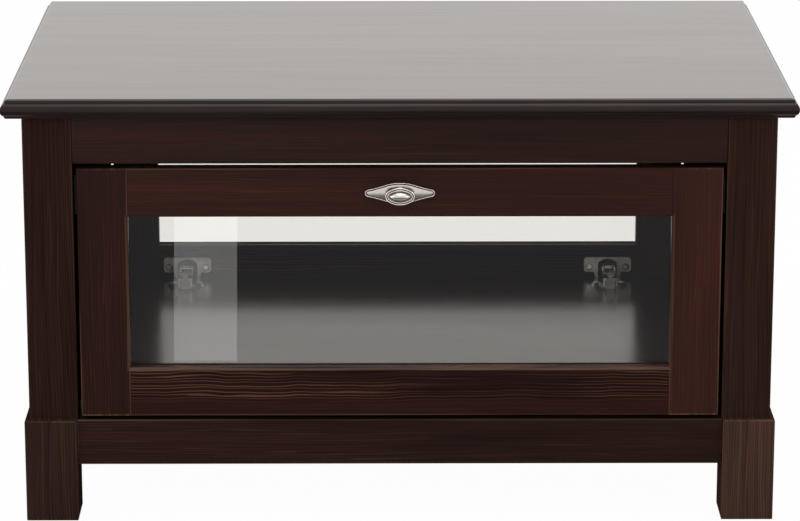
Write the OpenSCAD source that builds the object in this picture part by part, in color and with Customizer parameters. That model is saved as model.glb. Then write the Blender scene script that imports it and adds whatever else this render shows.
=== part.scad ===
// Low table with a closed lower cabinet and a glazed flap at the front and at the back.
// Millimetres. +X right, +Y to the back, +Z up. Origin on the floor under the middle of the top.
// Left and right are as seen from the front.

/* [Table] */
// Width over the edge of the top
table_w = 900; // [840:10:1000]
// Depth over the edge of the top
table_d = 600; // [560:10:700]
// Height above the floor
table_h = 500; // [480:5:530]

/* [Top] */
// Thickness of the top
top_t = 22.5; // [21.5:0.5:28]
// Reach of the top beyond the posts at the sides
top_over_side = 23; // [16:1:28]
// Reach of the top beyond the posts at the front and back
top_over_front = 12; // [10:1:20]
// Radius of the round along the upper edge
top_round = 4; // [3:0.5:5]
// Width of the fillet between the upper round and the nose
top_fillet = 0.7; // [0.5:0.1:1.5]
// Height of the fillet between the upper round and the nose
top_fillet_h = 0.9; // [0.5:0.1:1.5]
// Reach of the nose beyond its straight back line
nose_reach = 4.3; // [3:0.1:5]
// Radius of the round along the lower edge
under_round = 3.2; // [2:0.1:4]

/* [Posts and feet] */
// Side of the square posts
post_w = 56; // [50:1:60]
// Side of the square feet
foot_w = 60; // [58:1:64]
// Height of the feet
foot_h = 121; // [110:1:130]
// Step of a foot beyond the outer faces of its post
foot_step = 5.5; // [4:0.5:7]
// Radius of the eased edges of posts and feet
post_ease = 2; // [1:0.5:3]

/* [Frame] */
// Height of the aprons under the top
apron_h = 53.5; // [48:0.5:64]
// Thickness of the aprons
apron_t = 22; // [20:1:24]
// Height of the rails between the feet
rail_h = 54; // [48:1:64]
// Thickness of the rails
rail_t = 28; // [26:1:32]
// Radius of the eased edges of aprons and rails
rail_ease = 1.5; // [1:0.25:2]
// Thickness of the shelf
shelf_t = 18; // [16:1:20]
// Thickness of the side panels
panel_t = 10; // [8:1:12]
// Depth of the grooves that hold the side panels
groove_deep = 6; // [4:1:8]
// Side of the square battens under the shelf and under the top
batten_w = 20; // [18:1:22]
// Free length at each end of the battens
batten_short = 31; // [20:1:60]

/* [Flaps] */
// Gap between a flap and the posts
flap_side_gap = 4.5; // [3:0.5:6]
// Gap between a flap and the rail below
flap_low_gap = 5; // [5:0.5:7]
// Gap between a flap and the apron above
flap_top_gap = 5.5; // [4:0.5:8]
// Thickness of a flap
flap_t = 20; // [19:0.5:20]
// Width of the stiles and cross rails
stile_w = 57; // [54:1:66]
// Radius of the eased edges of stiles and cross rails
flap_ease = 0.8; // [0.5:0.1:1.2]
// Length of the tenons on the cross rails
tenon_l = 12; // [8:1:20]
// Thickness of the tenons
tenon_t = 7; // [6:0.5:8]
// Width of the shoulder beside a tenon
tenon_shoulder = 10; // [9:1:14]
// Width of the slope round the window
window_slope = 3.2; // [2:0.2:5]

/* [Glass] */
// Thickness of the panes
glass_t = 4; // [3:0.5:5]
// Width of the rebate that the panes lie in
rebate_w = 8; // [6:0.5:9]
// Thickness of the glazing beads
bead_t = 3; // [2.5:0.5:4]

/* [Handle] */
// Length of the backplate
plate_l = 80; // [70:1:90]
// Height of the backplate
plate_h = 24.4; // [22:0.2:28]
// Thickness of the backplate
plate_t = 2.6; // [2:0.2:4]
// Radius of the tips of the backplate
plate_tip = 4.4; // [4:0.1:5]
// Radius of the middle curve of the backplate
plate_belly = 56; // [44:1:60]
// Radius of the hollow shoulders of the backplate
plate_hollow = 160; // [130:5:200]
// Width of the raised border of the backplate
plate_border = 1.3; // [1:0.1:1.6]
// Width of the groove inside the raised border
plate_groove = 1.2; // [0.8:0.1:1.4]
// Depth of the groove inside the raised border
plate_rim = 0.8; // [0.4:0.1:1.2]
// Rise of the plate's cushioned middle above its border
plate_rise = 0.7; // [0.4:0.1:1]
// Length of the knob
knob_l = 34; // [30:1:40]
// Height of the knob
knob_h = 20.7; // [18:0.1:24]
// Radius of the ends of the knob
knob_end = 7.6; // [6.5:0.1:8.5]
// Distance from the flap to the face of the knob
knob_out = 20; // [16:1:26]
// Thickness of the knob's head
knob_t = 6.4; // [5:0.2:8]
// Diameter of the knob's neck
neck_d = 11; // [9:0.5:14]
// Length of the almond boss on the knob
almond_l = 24.8; // [20:0.2:26]
// Height of the almond boss on the knob
almond_h = 9.8; // [8:0.2:11]
// Rise of the almond boss
almond_out = 3.8; // [2:0.2:4]
// Width of the rim of the knob
knob_rim = 1.7; // [1.4:0.1:1.9]
// Width of the groove and of the bead inside the rim of the knob
knob_groove = 1; // [0.8:0.1:1.2]
// Depth of the groove inside the rim of the knob
knob_deep = 1.6; // [1:0.1:2]

/* [Hinges] */
// Distance of the hinges from the middle of the flap
hinge_x = 273; // [230:1:280]
// Diameter of the hinge cup over its wall
cup_d = 34.8; // [34.6:0.1:34.9]
// Depth of the hinge cup
cup_deep = 12.8; // [12.8:0.1:13.4]
// Wall of the hinge cup
cup_wall = 0.8; // [0.6:0.1:1]
// Width between the flat sides inside the hinge cup
cup_gap = 24.7; // [22:0.1:27]
// Wood left between a cup and the lower edge of the flap
cup_edge = 4; // [4:0.25:4.5]
// Width of the flange on the cup
flange_w = 61; // [60:1:64]
// Height of the flange above the middle of the cup
flange_up = 18.5; // [18:0.5:20]
// Depth of the flange below the middle of the cup
flange_down = 0.9; // [0.5:0.1:1.5]
// Thickness of the flange
flange_t = 1.2; // [1:0.1:1.4]
// Radius of the corners of the flange
flange_round = 4; // [3:0.5:5]
// Diameter of the dimples round the screws of the flange
dimple_d = 8.6; // [8:0.1:9]
// Depth of the dimples round the screws of the flange
dimple_deep = 0.5; // [0.3:0.1:0.6]
// Distance between the two screws of a cup
cup_screw_gap = 48; // [48:0.5:49]
// Height of the cup screws above the middle of the cup
cup_screw_up = 5.5; // [5:0.1:6]
// Height of the hinge's zero level above the lower edge of the flap
hinge_up = 13; // [13:0.1:13.2]
// Outward place of the short link's pin in the arm
short_arm_u = -1.7; // [-1.8:0.05:-1.6]
// Height of the short link's pin in the arm
short_arm_v = 16.05; // [15.95:0.05:16.15]
// Outward place of the short link's pin in the cup
short_cup_u = 6.91; // [6.85:0.01:7]
// Height of the short link's pin in the cup
short_cup_v = -2.6; // [-2.7:0.05:-2.5]
// Outward place of the bend in the short link
short_knee_u = 9; // [8.9:0.05:9.1]
// Height of the bend in the short link
short_knee_v = 15.64; // [15.5:0.02:15.8]
// Half width of the short link
short_half = 1.9; // [1.7:0.05:1.9]
// Outward place of the long link's pin in the arm
long_arm_u = -18; // [-18.2:0.05:-17.8]
// Height of the long link's pin in the arm
long_arm_v = 17.4; // [17.3:0.05:17.5]
// Outward place of the long link's end in the cup
long_cup_u = 3.05; // [3:0.01:3.1]
// Height of the long link's end in the cup
long_cup_v = -4.27; // [-4.3:0.01:-4.2]
// Outward place of the bend in the long link
long_knee_u = 6.5; // [6.4:0.05:6.8]
// Height of the bend in the long link
long_knee_v = 14; // [13.9:0.05:14.4]
// Half width of the long link
long_half = 1.7; // [1.5:0.05:1.7]
// Width of the long link
long_w = 8; // [7:0.5:8]
// Thickness of the hinge's sheet parts
sheet_t = 1.6; // [1.4:0.1:1.6]
// Gap between neighbouring links and cheeks
link_gap = 0.6; // [0.5:0.1:0.8]
// Diameter of the hinge pins
pin_d = 3; // [2.6:0.1:3]
// Length of the hinge arm behind the flap's inner face
arm_back = 62; // [58:1:66]
// Height of the back part of the arm
arm_top_v = 15.5; // [15:0.1:16]
// Height of the lower edge of the arm's sides
arm_low_v = 4; // [3.4:0.2:5]
// Width of the window in the arm behind the long link
arm_window_w = 10; // [8:0.5:11]
// Length of the window in the arm behind the long link
arm_window_l = 12; // [10:0.5:13]
// Length of the arm's bar between its window and its dish
arm_bar = 7; // [6:0.5:8]
// Width of the dish that the arm screw clamps
dish_w = 10.7; // [9.5:0.1:11.5]
// Thickness of the floor of the dish
dish_t = 1.2; // [1:0.1:1.6]
// Distance of the arm screws behind the flap's inner face
arm_screw_back = 50; // [49:0.5:51]
// Diameter of the head of the arm screws
arm_head_d = 7.6; // [7:0.1:8]
// Thickness of the head of the arm screws
arm_head_t = 2; // [1.6:0.1:2.4]
// Length of the arm screws under their head
arm_screw_l = 9; // [7:0.5:10]
// Free end of the arm behind its mounting plate
arm_free = 6; // [4:0.5:7]
// Diameter of the raised cones of the mounting plate at their foot
cone_d = 15.4; // [14:0.2:16]
// Diameter of the raised cones of the mounting plate at their top
cone_top_d = 8.6; // [8:0.1:9.6]
// Height of the raised cones of the mounting plate
cone_h = 4.5; // [3.5:0.25:5]
// Length of the wings along the arm
wing_l = 11; // [10:0.5:12]
// Thickness of the wings
wing_t = 2; // [1.6:0.1:2.4]
// Distance of the mounting plate's screws behind the flap's inner face
wing_back = 40; // [38:0.5:42]
// Distance between the screws of a mounting plate
wing_screw_gap = 32; // [32:0.5:33]

/* [Catches] */
// Width of a catch
catch_w = 14; // [12:1:16]
// Depth of a catch
catch_d = 15; // [13:1:18]
// Length of a catch over its two lugs
catch_l = 46; // [44:1:50]
// Length of a catch between its lugs
catch_body_l = 32; // [30:1:33]
// Length of the magnet
magnet_l = 28; // [24:1:28]
// Thickness of the magnet
magnet_t = 8; // [6:0.5:9]
// Distance from the upper edge of a flap to the middle of a catch
catch_drop = 35.5; // [32:0.5:60]
// Gap between a catch and the flap's inner face
catch_gap = 2; // [2:0.1:2.5]
// Width of a strike plate
strike_w = 12; // [10:0.5:14]
// Length of a strike plate
strike_l = 40; // [36:1:44]
// Thickness of a strike plate
strike_t = 1.2; // [1:0.1:1.3]

/* [Fixings] */
// Diameter of the dowels between posts, rails and aprons
dowel_d = 8; // [7:0.5:9]
// Length of the dowels between posts, rails and aprons
dowel_l = 40; // [30:1:40]
// Diameter of the dowels between posts and feet
foot_dowel_d = 10; // [8:0.5:11]
// Distance between the two dowels of a joint
dowel_gap = 25; // [22:1:28]
// Diameter of the wood screws
screw_d = 3.5; // [3:0.1:4]
// Length of the short wood screws
screw_l = 13; // [12:0.5:15]
// Length of the screws through the battens
long_screw_l = 30; // [28:0.5:32]
// Diameter of the machine screws
bolt_d = 4; // [3.5:0.1:4.5]
// Width of the cross slots in the screws' heads
slot_w = 0.9; // [0.7:0.1:1]
// Depth of the cross slots in the machine screws' heads
slot_deep = 1; // [0.6:0.1:1.2]
// Thickness of the knob screws' heads
knob_head_t = 2.2; // [1.8:0.1:2.6]

/* [Fits] */
// Radial clearance of dowels and screws in their bores
bore_fit = 0.05; // [0.05:0.01:0.1]
// Radial clearance of the hinge pins
pin_fit = 0.06; // [0.05:0.01:0.1]
// Clearance at the end of a blind bore
end_fit = 1; // [0.5:0.25:1.5]
// Clearance round panels, panes and beads
panel_fit = 0.2; // [0.1:0.05:0.3]
// Clearance of the shelf to the posts and panels
shelf_fit = 0.5; // [0.3:0.1:1]
// Distance of the shelf's front edge from the flap's inner face
shelf_back = 3; // [3:0.1:4]

/* [Shown] */
// Piece to draw, or all

/* [Hidden] */
$fn = 48;
cut = 1;
post_out_x = table_w / 2 - top_over_side;
post_out_y = table_d / 2 - top_over_front;
post_in_x = post_out_x - post_w;
post_in_y = post_out_y - post_w;
post_x = post_out_x - post_w / 2;
post_y = post_out_y - post_w / 2;
foot_x = post_out_x + foot_step - foot_w / 2;
foot_y = post_out_y + foot_step - foot_w / 2;
foot_in_x = foot_x - foot_w / 2;
foot_in_y = foot_y - foot_w / 2;
under_top = table_h - top_t;
apron_z0 = under_top - apron_h;
rail_z0 = foot_h - rail_h;
shelf_z1 = foot_h + shelf_t;
apron_mid_x = post_out_x - apron_t / 2;
apron_mid_y = post_out_y - apron_t / 2;
rail_mid_x = post_out_x - rail_t / 2;
rail_mid_y = post_out_y - rail_t / 2;
apron_mid_z = apron_z0 + apron_h / 2;
rail_mid_z = rail_z0 + rail_h / 2;
panel_out = 2;
panel_x = post_out_x - rail_t / 2 + panel_out;
panel_z0 = foot_h - groove_deep + panel_fit;
panel_z1 = apron_z0 + groove_deep - panel_fit;
groove_w = panel_t + 2 * panel_fit;
flap_in_y = post_out_y - flap_t;
flap_z0 = foot_h + flap_low_gap;
flap_z1 = apron_z0 - flap_top_gap;
flap_h = flap_z1 - flap_z0;
flap_mid_z = (flap_z0 + flap_z1) / 2;
flap_half = post_in_x - flap_side_gap;
window_x = flap_half - stile_w;
window_z0 = flap_z0 + stile_w;
window_z1 = flap_z1 - stile_w;
window_mid_z = (window_z0 + window_z1) / 2;
rebate_deep = glass_t + bead_t;
rebate_y = flap_in_y + rebate_deep;
tenon_w = stile_w - rebate_w - 2 * tenon_shoulder;
tenon_low_z = flap_z0 + tenon_shoulder + tenon_w / 2;
tenon_top_z = flap_z1 - tenon_shoulder - tenon_w / 2;
tenon_y = rebate_y + (flap_t - rebate_deep) / 2;
handle_z = flap_z1 - stile_w / 2;
hinge_z = flap_z0 + hinge_up;
cup_fit = 0.1;
cup_floor = 0.6;
cup_v = flap_z0 + cup_edge + cup_d / 2 + cup_fit - hinge_z;
dish_v = arm_top_v - sheet_t;
seat_v = dish_v - dish_t;
rivet_out = 0.2;
short_in = long_w / 2 + rivet_out + link_gap;
short_out = short_in + sheet_t;
cheek_in = short_out + link_gap;
cheek_out = cheek_in + sheet_t;
shelf_v = shelf_z1 - hinge_z;
rib_w = 12;
rib_front = 22;
rib_back = arm_back - arm_free;
arm_web_u = rib_front + 0.5;
arm_bar_u = arm_web_u + arm_window_l;
dish_u = arm_bar_u + arm_bar;
arm_lift_u = rib_front + 3;
arm_slope_u = rib_front + 6;
arm_throat_u = -16;
arm_throat_v = 11.2;
boss_r = pin_d / 2 + 1.1;
long_end_r = 2;
long_rivet_d = 2.4;
web_t = 1.2;
web_from = 5;
web_l = 9;
catch_z = flap_z1 - catch_drop;
catch_y = flap_in_y - catch_gap - catch_d / 2;
magnet_out = 0.4;
magnet_back = 2;
magnet_side = 1;
lug_t = 3;
strike_edge = 1;
strike_x = flap_half - strike_edge - strike_w / 2;
head_d = 2 * screw_d;
head_t = screw_d / 2;
cross_w = 0.6 * head_d;
bead_joint = 0.02;
border_edge = 0.5;
collar_d = neck_d + 4;
collar_t = 1.4;
stem_in = 1;
knob_step_t = 1.4;
knob_step = 2.2;
knob_edge = 0.8;
knob_edge_t = 1.6;
almond_sink = 0.8;
almond_seat = 2;
pillow_r = 46;
pillow_long_r = 700;
batten_half = post_in_x - batten_short;
shelf_batten_y = post_out_y - rail_t - batten_w / 2;
top_batten_y = post_out_y - apron_t - batten_w / 2;
batten_screws = [-0.88, -0.3, 0.3, 0.88];
wood_dark = [0.18, 0.12, 0.09];
wood_red = [0.24, 0.14, 0.10];
wood_inside = [0.22, 0.16, 0.12];
metal_old = [0.45, 0.41, 0.35];
metal_bright = [0.72, 0.72, 0.70];

// Rectangle about the middle with rounded corners.
module eased(a, b, r) {
    square([a - 2 * r, b], center = true);
    square([a, b - 2 * r], center = true);
    for (i = [-1, 1], j = [-1, 1]) {
        translate([i * (a / 2 - r), j * (b / 2 - r)])
            circle(r);
    }
}

// Bars about the middle, with eased edges along X, Y or Z.
module bar_x(l, d, h, r) {
    rotate([90, 0, 90])
        linear_extrude(height = l, center = true)
            eased(d, h, r);
}

module bar_y(w, l, h, r) {
    rotate([90, 0, 0])
        linear_extrude(height = l, center = true)
            eased(w, h, r);
}

module bar_z(w, d, l, r) {
    linear_extrude(height = l, center = true)
        eased(w, d, r);
}

// Block given by its low and high corners.
module block(low, high) {
    translate(low)
        cube(high - low);
}

// The front copy and its half turn at the back.
module both_ends() {
    children();
    rotate([0, 0, 180])
        children();
}

// Copies at all four corners of the frame, mirrored about both middle planes.
module four_ways() {
    for (i = [0, 1], j = [0, 1]) {
        mirror([i, 0, 0])
            mirror([0, j, 0])
                children();
    }
}

// Round rods along X, Y and Z.
module rod_x(d, l) {
    rotate([0, 90, 0])
        cylinder(d = d, h = l, center = true);
}

module rod_y(d, l) {
    rotate([90, 0, 0])
        cylinder(d = d, h = l, center = true);
}

// Countersunk wood screw with its head's face at the origin, pointing down.
module wood_screw(l) {
    difference() {
        union() {
            translate([0, 0, -l])
                cylinder(d = screw_d, h = l);
            translate([0, 0, -head_t])
                cylinder(d1 = screw_d, d2 = head_d, h = head_t);
        }
        for (a = [0, 90]) {
            rotate([0, 0, a])
                translate([0, 0, -head_t / 2 + cut / 2])
                    cube([cross_w, slot_w, head_t + cut], center = true);
        }
    }
}

// The space that a wood screw takes, with its clearance.
module wood_screw_bore(l) {
    translate([0, 0, -l - end_fit])
        cylinder(d = screw_d + 2 * bore_fit, h = l + end_fit);
    translate([0, 0, -head_t - bore_fit])
        cylinder(d1 = screw_d + 2 * bore_fit, d2 = head_d + 4 * bore_fit, h = head_t + bore_fit);
    cylinder(d = head_d + 4 * bore_fit, h = cut);
}

// Places of the dowels in one quarter of the frame, right and front.
module dowel_places_x() {
    for (s = [-1, 1]) {
        translate([post_in_x, -apron_mid_y, apron_mid_z + s * dowel_gap / 2])
            children();
        translate([foot_in_x, -rail_mid_y, rail_mid_z + s * dowel_gap / 2])
            children();
    }
}

module dowel_places_y() {
    for (s = [-1, 1]) {
        translate([apron_mid_x, -post_in_y, apron_mid_z + s * dowel_gap / 2])
            children();
        translate([rail_mid_x, -foot_in_y, rail_mid_z + s * dowel_gap / 2])
            children();
    }
}

module dowel_places_z() {
    for (s = [-1, 1]) {
        translate([post_x + s * dowel_gap / 2, -foot_y, foot_h])
            children();
    }
}

// All dowels, or their bores where grow and more are given.
module dowels(grow, more) {
    four_ways() {
        dowel_places_x()
            rod_x(dowel_d + grow, dowel_l + more);
        dowel_places_y()
            rod_y(dowel_d + grow, dowel_l + more);
        dowel_places_z()
            cylinder(d = foot_dowel_d + grow, h = dowel_l + more, center = true);
    }
}

module dowel_bores() {
    dowels(2 * bore_fit, 2 * end_fit);
}

// Section of the top with both moulded edges, for a top of the given breadth.
module top_section(breadth) {
    half = breadth / 2;
    back = nose_reach;
    fillet_in = back + top_fillet;
    flat_in = fillet_in + top_round;
    nose_low = under_round;
    nose_high = top_t - top_round - top_fillet_h;
    nose_h = nose_high - nose_low;
    nose_r = (nose_h * nose_h / 4 + nose_reach * nose_reach) / (2 * nose_reach);
    translate([-half + back, nose_low])
        square([breadth - 2 * back, nose_h]);
    translate([-half + fillet_in, nose_low])
        square([breadth - 2 * fillet_in, top_t - top_round - nose_low]);
    translate([-half + flat_in, nose_low])
        square([breadth - 2 * flat_in, top_t - nose_low]);
    translate([-half + back + under_round, 0])
        square([breadth - 2 * back - 2 * under_round, top_t / 2]);
    for (s = [-1, 1]) {
        translate([s * (half - flat_in), top_t - top_round])
            circle(top_round);
        translate([s * (half - back - under_round), under_round])
            circle(under_round);
        intersection() {
            translate([s * (half - nose_r), nose_low + nose_h / 2])
                circle(nose_r, $fn = 96);
            translate([s * (half - back) - back, nose_low])
                square([2 * back, nose_h]);
        }
    }
}

module table_top() {
    color(wood_dark)
    difference() {
        translate([0, 0, under_top])
            intersection() {
                rotate([90, 0, 0])
                    linear_extrude(height = table_d + 2 * cut, center = true)
                        top_section(table_w);
                rotate([90, 0, 90])
                    linear_extrude(height = table_w + 2 * cut, center = true)
                        top_section(table_d);
            }
        batten_screw_bores(top_batten_y, under_top - batten_w);
    }
}

// Posts and feet, drawn at the right front and mirrored.
module post() {
    color(wood_dark)
    difference() {
        translate([post_x, -post_y, (foot_h + under_top) / 2])
            bar_z(post_w, post_w, under_top - foot_h, post_ease);
        panel_groove();
        dowel_bores();
        catch_screw_places()
            wood_screw_bore(screw_l);
    }
}

module foot() {
    color(wood_dark)
    difference() {
        translate([foot_x, -foot_y, foot_h / 2])
            intersection() {
                bar_x(foot_w, foot_w, foot_h, post_ease);
                bar_y(foot_w, foot_w, foot_h, post_ease);
                bar_z(foot_w, foot_w, foot_h, post_ease);
            }
        dowel_bores();
    }
}

module post_front_right() { post(); }
module post_front_left() { mirror([1, 0, 0]) post(); }
module post_back_right() { mirror([0, 1, 0]) post(); }
module post_back_left() { rotate([0, 0, 180]) post(); }
module foot_front_right() { foot(); }
module foot_front_left() { mirror([1, 0, 0]) foot(); }
module foot_back_right() { mirror([0, 1, 0]) foot(); }
module foot_back_left() { rotate([0, 0, 180]) foot(); }

// Aprons under the top and rails between the feet.
module front_apron() {
    color(wood_dark)
    difference() {
        translate([0, -apron_mid_y, apron_mid_z])
            bar_x(2 * post_in_x, apron_t, apron_h, rail_ease);
        dowel_bores();
    }
}

module side_apron() {
    color(wood_dark)
    difference() {
        translate([apron_mid_x, 0, apron_mid_z])
            bar_y(apron_t, 2 * post_in_y, apron_h, rail_ease);
        panel_groove();
        dowel_bores();
    }
}

module front_rail() {
    color(wood_red)
    difference() {
        translate([0, -rail_mid_y, rail_mid_z])
            bar_x(2 * foot_in_x, rail_t, rail_h, rail_ease);
        dowel_bores();
    }
}

module side_rail() {
    color(wood_red)
    difference() {
        translate([rail_mid_x, 0, rail_mid_z])
            bar_y(rail_t, 2 * foot_in_y, rail_h, rail_ease);
        panel_groove();
        dowel_bores();
    }
}

module apron_front() { front_apron(); }
module apron_back() { rotate([0, 0, 180]) front_apron(); }
module apron_right() { side_apron(); }
module apron_left() { rotate([0, 0, 180]) side_apron(); }
module rail_front() { front_rail(); }
module rail_back() { rotate([0, 0, 180]) front_rail(); }
module rail_right() { side_rail(); }
module rail_left() { rotate([0, 0, 180]) side_rail(); }

// The groove for the right side panel, in the posts, the side apron and the side rail.
module panel_groove() {
    long_y = post_in_y + groove_deep;
    low = foot_h - groove_deep;
    high = apron_z0 + groove_deep;
    half = groove_w / 2;
    block([panel_x - half, -foot_in_y - cut, low], [panel_x + half, foot_in_y + cut, foot_h + cut]);
    block([panel_x - half, -long_y, foot_h - cut], [panel_x + half, long_y, high]);
}

module side_panel() {
    long_y = post_in_y + groove_deep - panel_fit;
    half = panel_t / 2;
    notch_y = foot_in_y - panel_fit;
    notch_z = foot_h + panel_fit;
    color(wood_inside) {
        block([panel_x - half, -long_y, notch_z], [panel_x + half, long_y, panel_z1]);
        block([panel_x - half, -notch_y, panel_z0], [panel_x + half, notch_y, notch_z]);
    }
}

module side_panel_right() { side_panel(); }
module side_panel_left() { rotate([0, 0, 180]) side_panel(); }

// The shelf lies on the rails and reaches out between the posts to the side panels.
module shelf() {
    mid_x = post_in_x - shelf_fit;
    mid_y = flap_in_y - shelf_back;
    wing_x = panel_x - panel_t / 2 - shelf_fit;
    wing_y = post_in_y - shelf_fit;
    color(wood_inside)
    difference() {
        union() {
            block([-mid_x, -mid_y, foot_h], [mid_x, mid_y, shelf_z1]);
            block([-wing_x, -wing_y, foot_h], [wing_x, wing_y, shelf_z1]);
        }
        batten_screw_bores(shelf_batten_y, foot_h - batten_w);
        wing_screw_places()
            wood_screw_bore(screw_l);
    }
}

// Battens and their screws. The screws point up from the underside of a batten.
module batten_screw_places(y, z) {
    both_ends() {
        for (f = batten_screws) {
            translate([f * batten_half, -y, z])
                mirror([0, 0, 1])
                    children();
        }
    }
}

module batten_screw_bores(y, z) {
    batten_screw_places(y, z)
        wood_screw_bore(long_screw_l);
}

module batten(y, z) {
    color(wood_inside)
    difference() {
        translate([0, -y, z + batten_w / 2])
            cube([2 * batten_half, batten_w, batten_w], center = true);
        batten_screw_bores(y, z);
    }
}

module top_batten_front() { batten(top_batten_y, under_top - batten_w); }
module top_batten_back() { rotate([0, 0, 180]) top_batten_front(); }
module shelf_batten_front() { batten(shelf_batten_y, foot_h - batten_w); }
module shelf_batten_back() { rotate([0, 0, 180]) shelf_batten_front(); }

module frame_dowels() {
    color([0.70, 0.55, 0.38])
        dowels(0, 0);
}

module batten_screws() {
    color(metal_bright) {
        batten_screw_places(top_batten_y, under_top - batten_w)
            wood_screw(long_screw_l);
        batten_screw_places(shelf_batten_y, foot_h - batten_w)
            wood_screw(long_screw_l);
    }
}

// Magnetic catches on the inner faces of the posts, drawn at the right front.
module catch_screw_places() {
    for (s = [-1, 1]) {
        translate([post_in_x - lug_t, -catch_y, catch_z + s * (catch_l + catch_body_l) / 4])
            rotate([0, -90, 0])
                children();
    }
}

module catch_magnet_space(grow) {
    w = magnet_t + 2 * grow;
    l = magnet_l + 2 * grow;
    low_y = -flap_in_y + catch_gap - magnet_out;
    high_y = -catch_y + catch_d / 2 - magnet_back;
    mid_x = post_in_x - catch_w + magnet_side + magnet_t / 2;
    block([mid_x - w / 2, low_y, catch_z - l / 2], [mid_x + w / 2, high_y + grow, catch_z + l / 2]);
}

module catch_cases() {
    low_x = post_in_x - catch_w;
    low_y = -catch_y - catch_d / 2;
    high_y = -catch_y + catch_d / 2;
    half = catch_body_l / 2;
    color([0.20, 0.18, 0.17])
    four_ways()
        difference() {
            union() {
                block([low_x, low_y, catch_z - half], [post_in_x, high_y, catch_z + half]);
                translate([post_in_x - lug_t / 2, -catch_y, catch_z])
                    cube([lug_t, catch_d, catch_l], center = true);
            }
            catch_magnet_space(bore_fit);
            catch_screw_places()
                wood_screw_bore(screw_l);
        }
}

module catch_magnets() {
    color([0.32, 0.32, 0.33])
    four_ways()
        catch_magnet_space(0);
}

// Hinges. In their own plane u runs outward from the flap's inner face and v runs up.
module hinge_places() {
    for (s = [-1, 1]) {
        translate([s * hinge_x, -flap_in_y, hinge_z])
            children();
    }
}

// Turns a drawing in u and v into a plate of the given width about the hinge's middle.
module plate_uv(w) {
    rotate([90, 0, -90])
        linear_extrude(height = w, center = true)
            children();
}

// The same plate at both sides of the hinge's middle, from one distance to another.
module cheeks_uv(near, far) {
    for (s = [-1, 1]) {
        translate([s * (near + far) / 2, 0, 0])
            plate_uv(far - near)
                children();
    }
}

// Straight strip in u and v between two points, without round ends.
module strip(u0, v0, u1, v1, half) {
    translate([u0, v0])
        rotate([0, 0, atan2(v1 - v0, u1 - u0)])
            translate([0, -half])
                square([norm([u1 - u0, v1 - v0]), 2 * half]);
}

// Bent link outline with a boss at each end.
module link_outline(u0, v0, u1, v1, u2, v2, half, r0, r2) {
    strip(u0, v0, u1, v1, half);
    strip(u1, v1, u2, v2, half);
    translate([u1, v1])
        circle(half);
    translate([u0, v0])
        circle(r0);
    translate([u2, v2])
        circle(r2);
}

// Round pin along X at a place in u and v.
module pin_uv(u, v, d, l) {
    translate([0, -u, v])
        rod_x(d, l);
}

// Two short pins, one at each side of the hinge's middle.
module stub_pins_uv(u, v, d, near, far) {
    for (s = [-1, 1]) {
        translate([s * (near + far) / 2, 0, 0])
            pin_uv(u, v, d, far - near);
    }
}

module short_links() {
    bore_d = pin_d + 2 * pin_fit;
    lean = atan2(short_knee_u - short_cup_u, short_knee_v - short_cup_v);
    color(metal_bright)
    hinge_places()
        difference() {
            union() {
                cheeks_uv(short_in, short_out)
                    link_outline(short_arm_u, short_arm_v, short_knee_u, short_knee_v,
                        short_cup_u, short_cup_v, short_half, boss_r, boss_r);
                plate_uv(2 * short_out)
                    translate([short_cup_u, short_cup_v])
                        rotate([0, 0, -lean])
                            translate([short_half - web_t, web_from])
                                square([web_t, web_l]);
            }
            pin_uv(short_arm_u, short_arm_v, bore_d, 3 * short_out);
            pin_uv(short_cup_u, short_cup_v, bore_d, 3 * short_out);
        }
}

module long_links() {
    color(metal_bright)
    hinge_places()
        difference() {
            union() {
                plate_uv(long_w)
                    link_outline(long_arm_u, long_arm_v, long_knee_u, long_knee_v,
                        long_cup_u, long_cup_v, long_half, boss_r, long_end_r);
                pin_uv(long_cup_u, long_cup_v, long_rivet_d, long_w + 2 * rivet_out);
            }
            pin_uv(long_arm_u, long_arm_v, pin_d + 2 * pin_fit, 2 * long_w);
        }
}

module hinge_cup() {
    cup_r = cup_d / 2;
    flange_h = flange_up + flange_down;
    difference() {
        union() {
            rotate([90, 0, 0])
                translate([0, cup_v, 0])
                    cylinder(r = cup_r, h = cup_deep, $fn = 96);
            translate([0, flange_t / 2, cup_v + (flange_up - flange_down) / 2])
                rotate([90, 0, 0])
                    linear_extrude(height = flange_t, center = true)
                        eased(flange_w, flange_h, flange_round);
        }
        intersection() {
            translate([0, 0, cup_v])
                rotate([90, 0, 0])
                    translate([0, 0, -2 * flange_t])
                        cylinder(r = cup_r - cup_wall, h = cup_deep - cup_floor + 2 * flange_t, $fn = 96);
            translate([0, 0, cup_v])
                cube([cup_gap, 4 * cup_deep, cup_d], center = true);
        }
        cup_screw_places() {
            wood_screw_bore(screw_l);
            cylinder(d = dimple_d, h = cut);
        }
    }
    intersection() {
        stub_pins_uv(short_cup_u, short_cup_v, pin_d, short_in - rivet_out, cup_r);
        translate([0, 0, cup_v])
            rotate([90, 0, 0])
                cylinder(r = cup_r - cup_wall / 2, h = cup_deep, $fn = 96);
    }
}

module cups() {
    color(metal_bright)
    hinge_places()
        hinge_cup();
}

module cup_screw_places() {
    for (s = [-1, 1]) {
        translate([s * cup_screw_gap / 2, flange_t - dimple_deep, cup_v + cup_screw_up])
            rotate([-90, 0, 0])
                children();
    }
}

// Side view of the hinge arm: a straight back part, a boss and a nose.
module arm_outline(back) {
    polygon([
        [-back, arm_low_v], [-arm_lift_u, arm_low_v], [arm_throat_u, arm_throat_v],
        [short_arm_u, short_arm_v - boss_r], [short_arm_u, short_arm_v + boss_r],
        [long_arm_u, long_arm_v + boss_r], [-arm_slope_u, arm_top_v], [-back, arm_top_v]
    ]);
    translate([short_arm_u, short_arm_v])
        circle(boss_r);
    translate([long_arm_u, long_arm_v])
        circle(boss_r);
}

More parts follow.
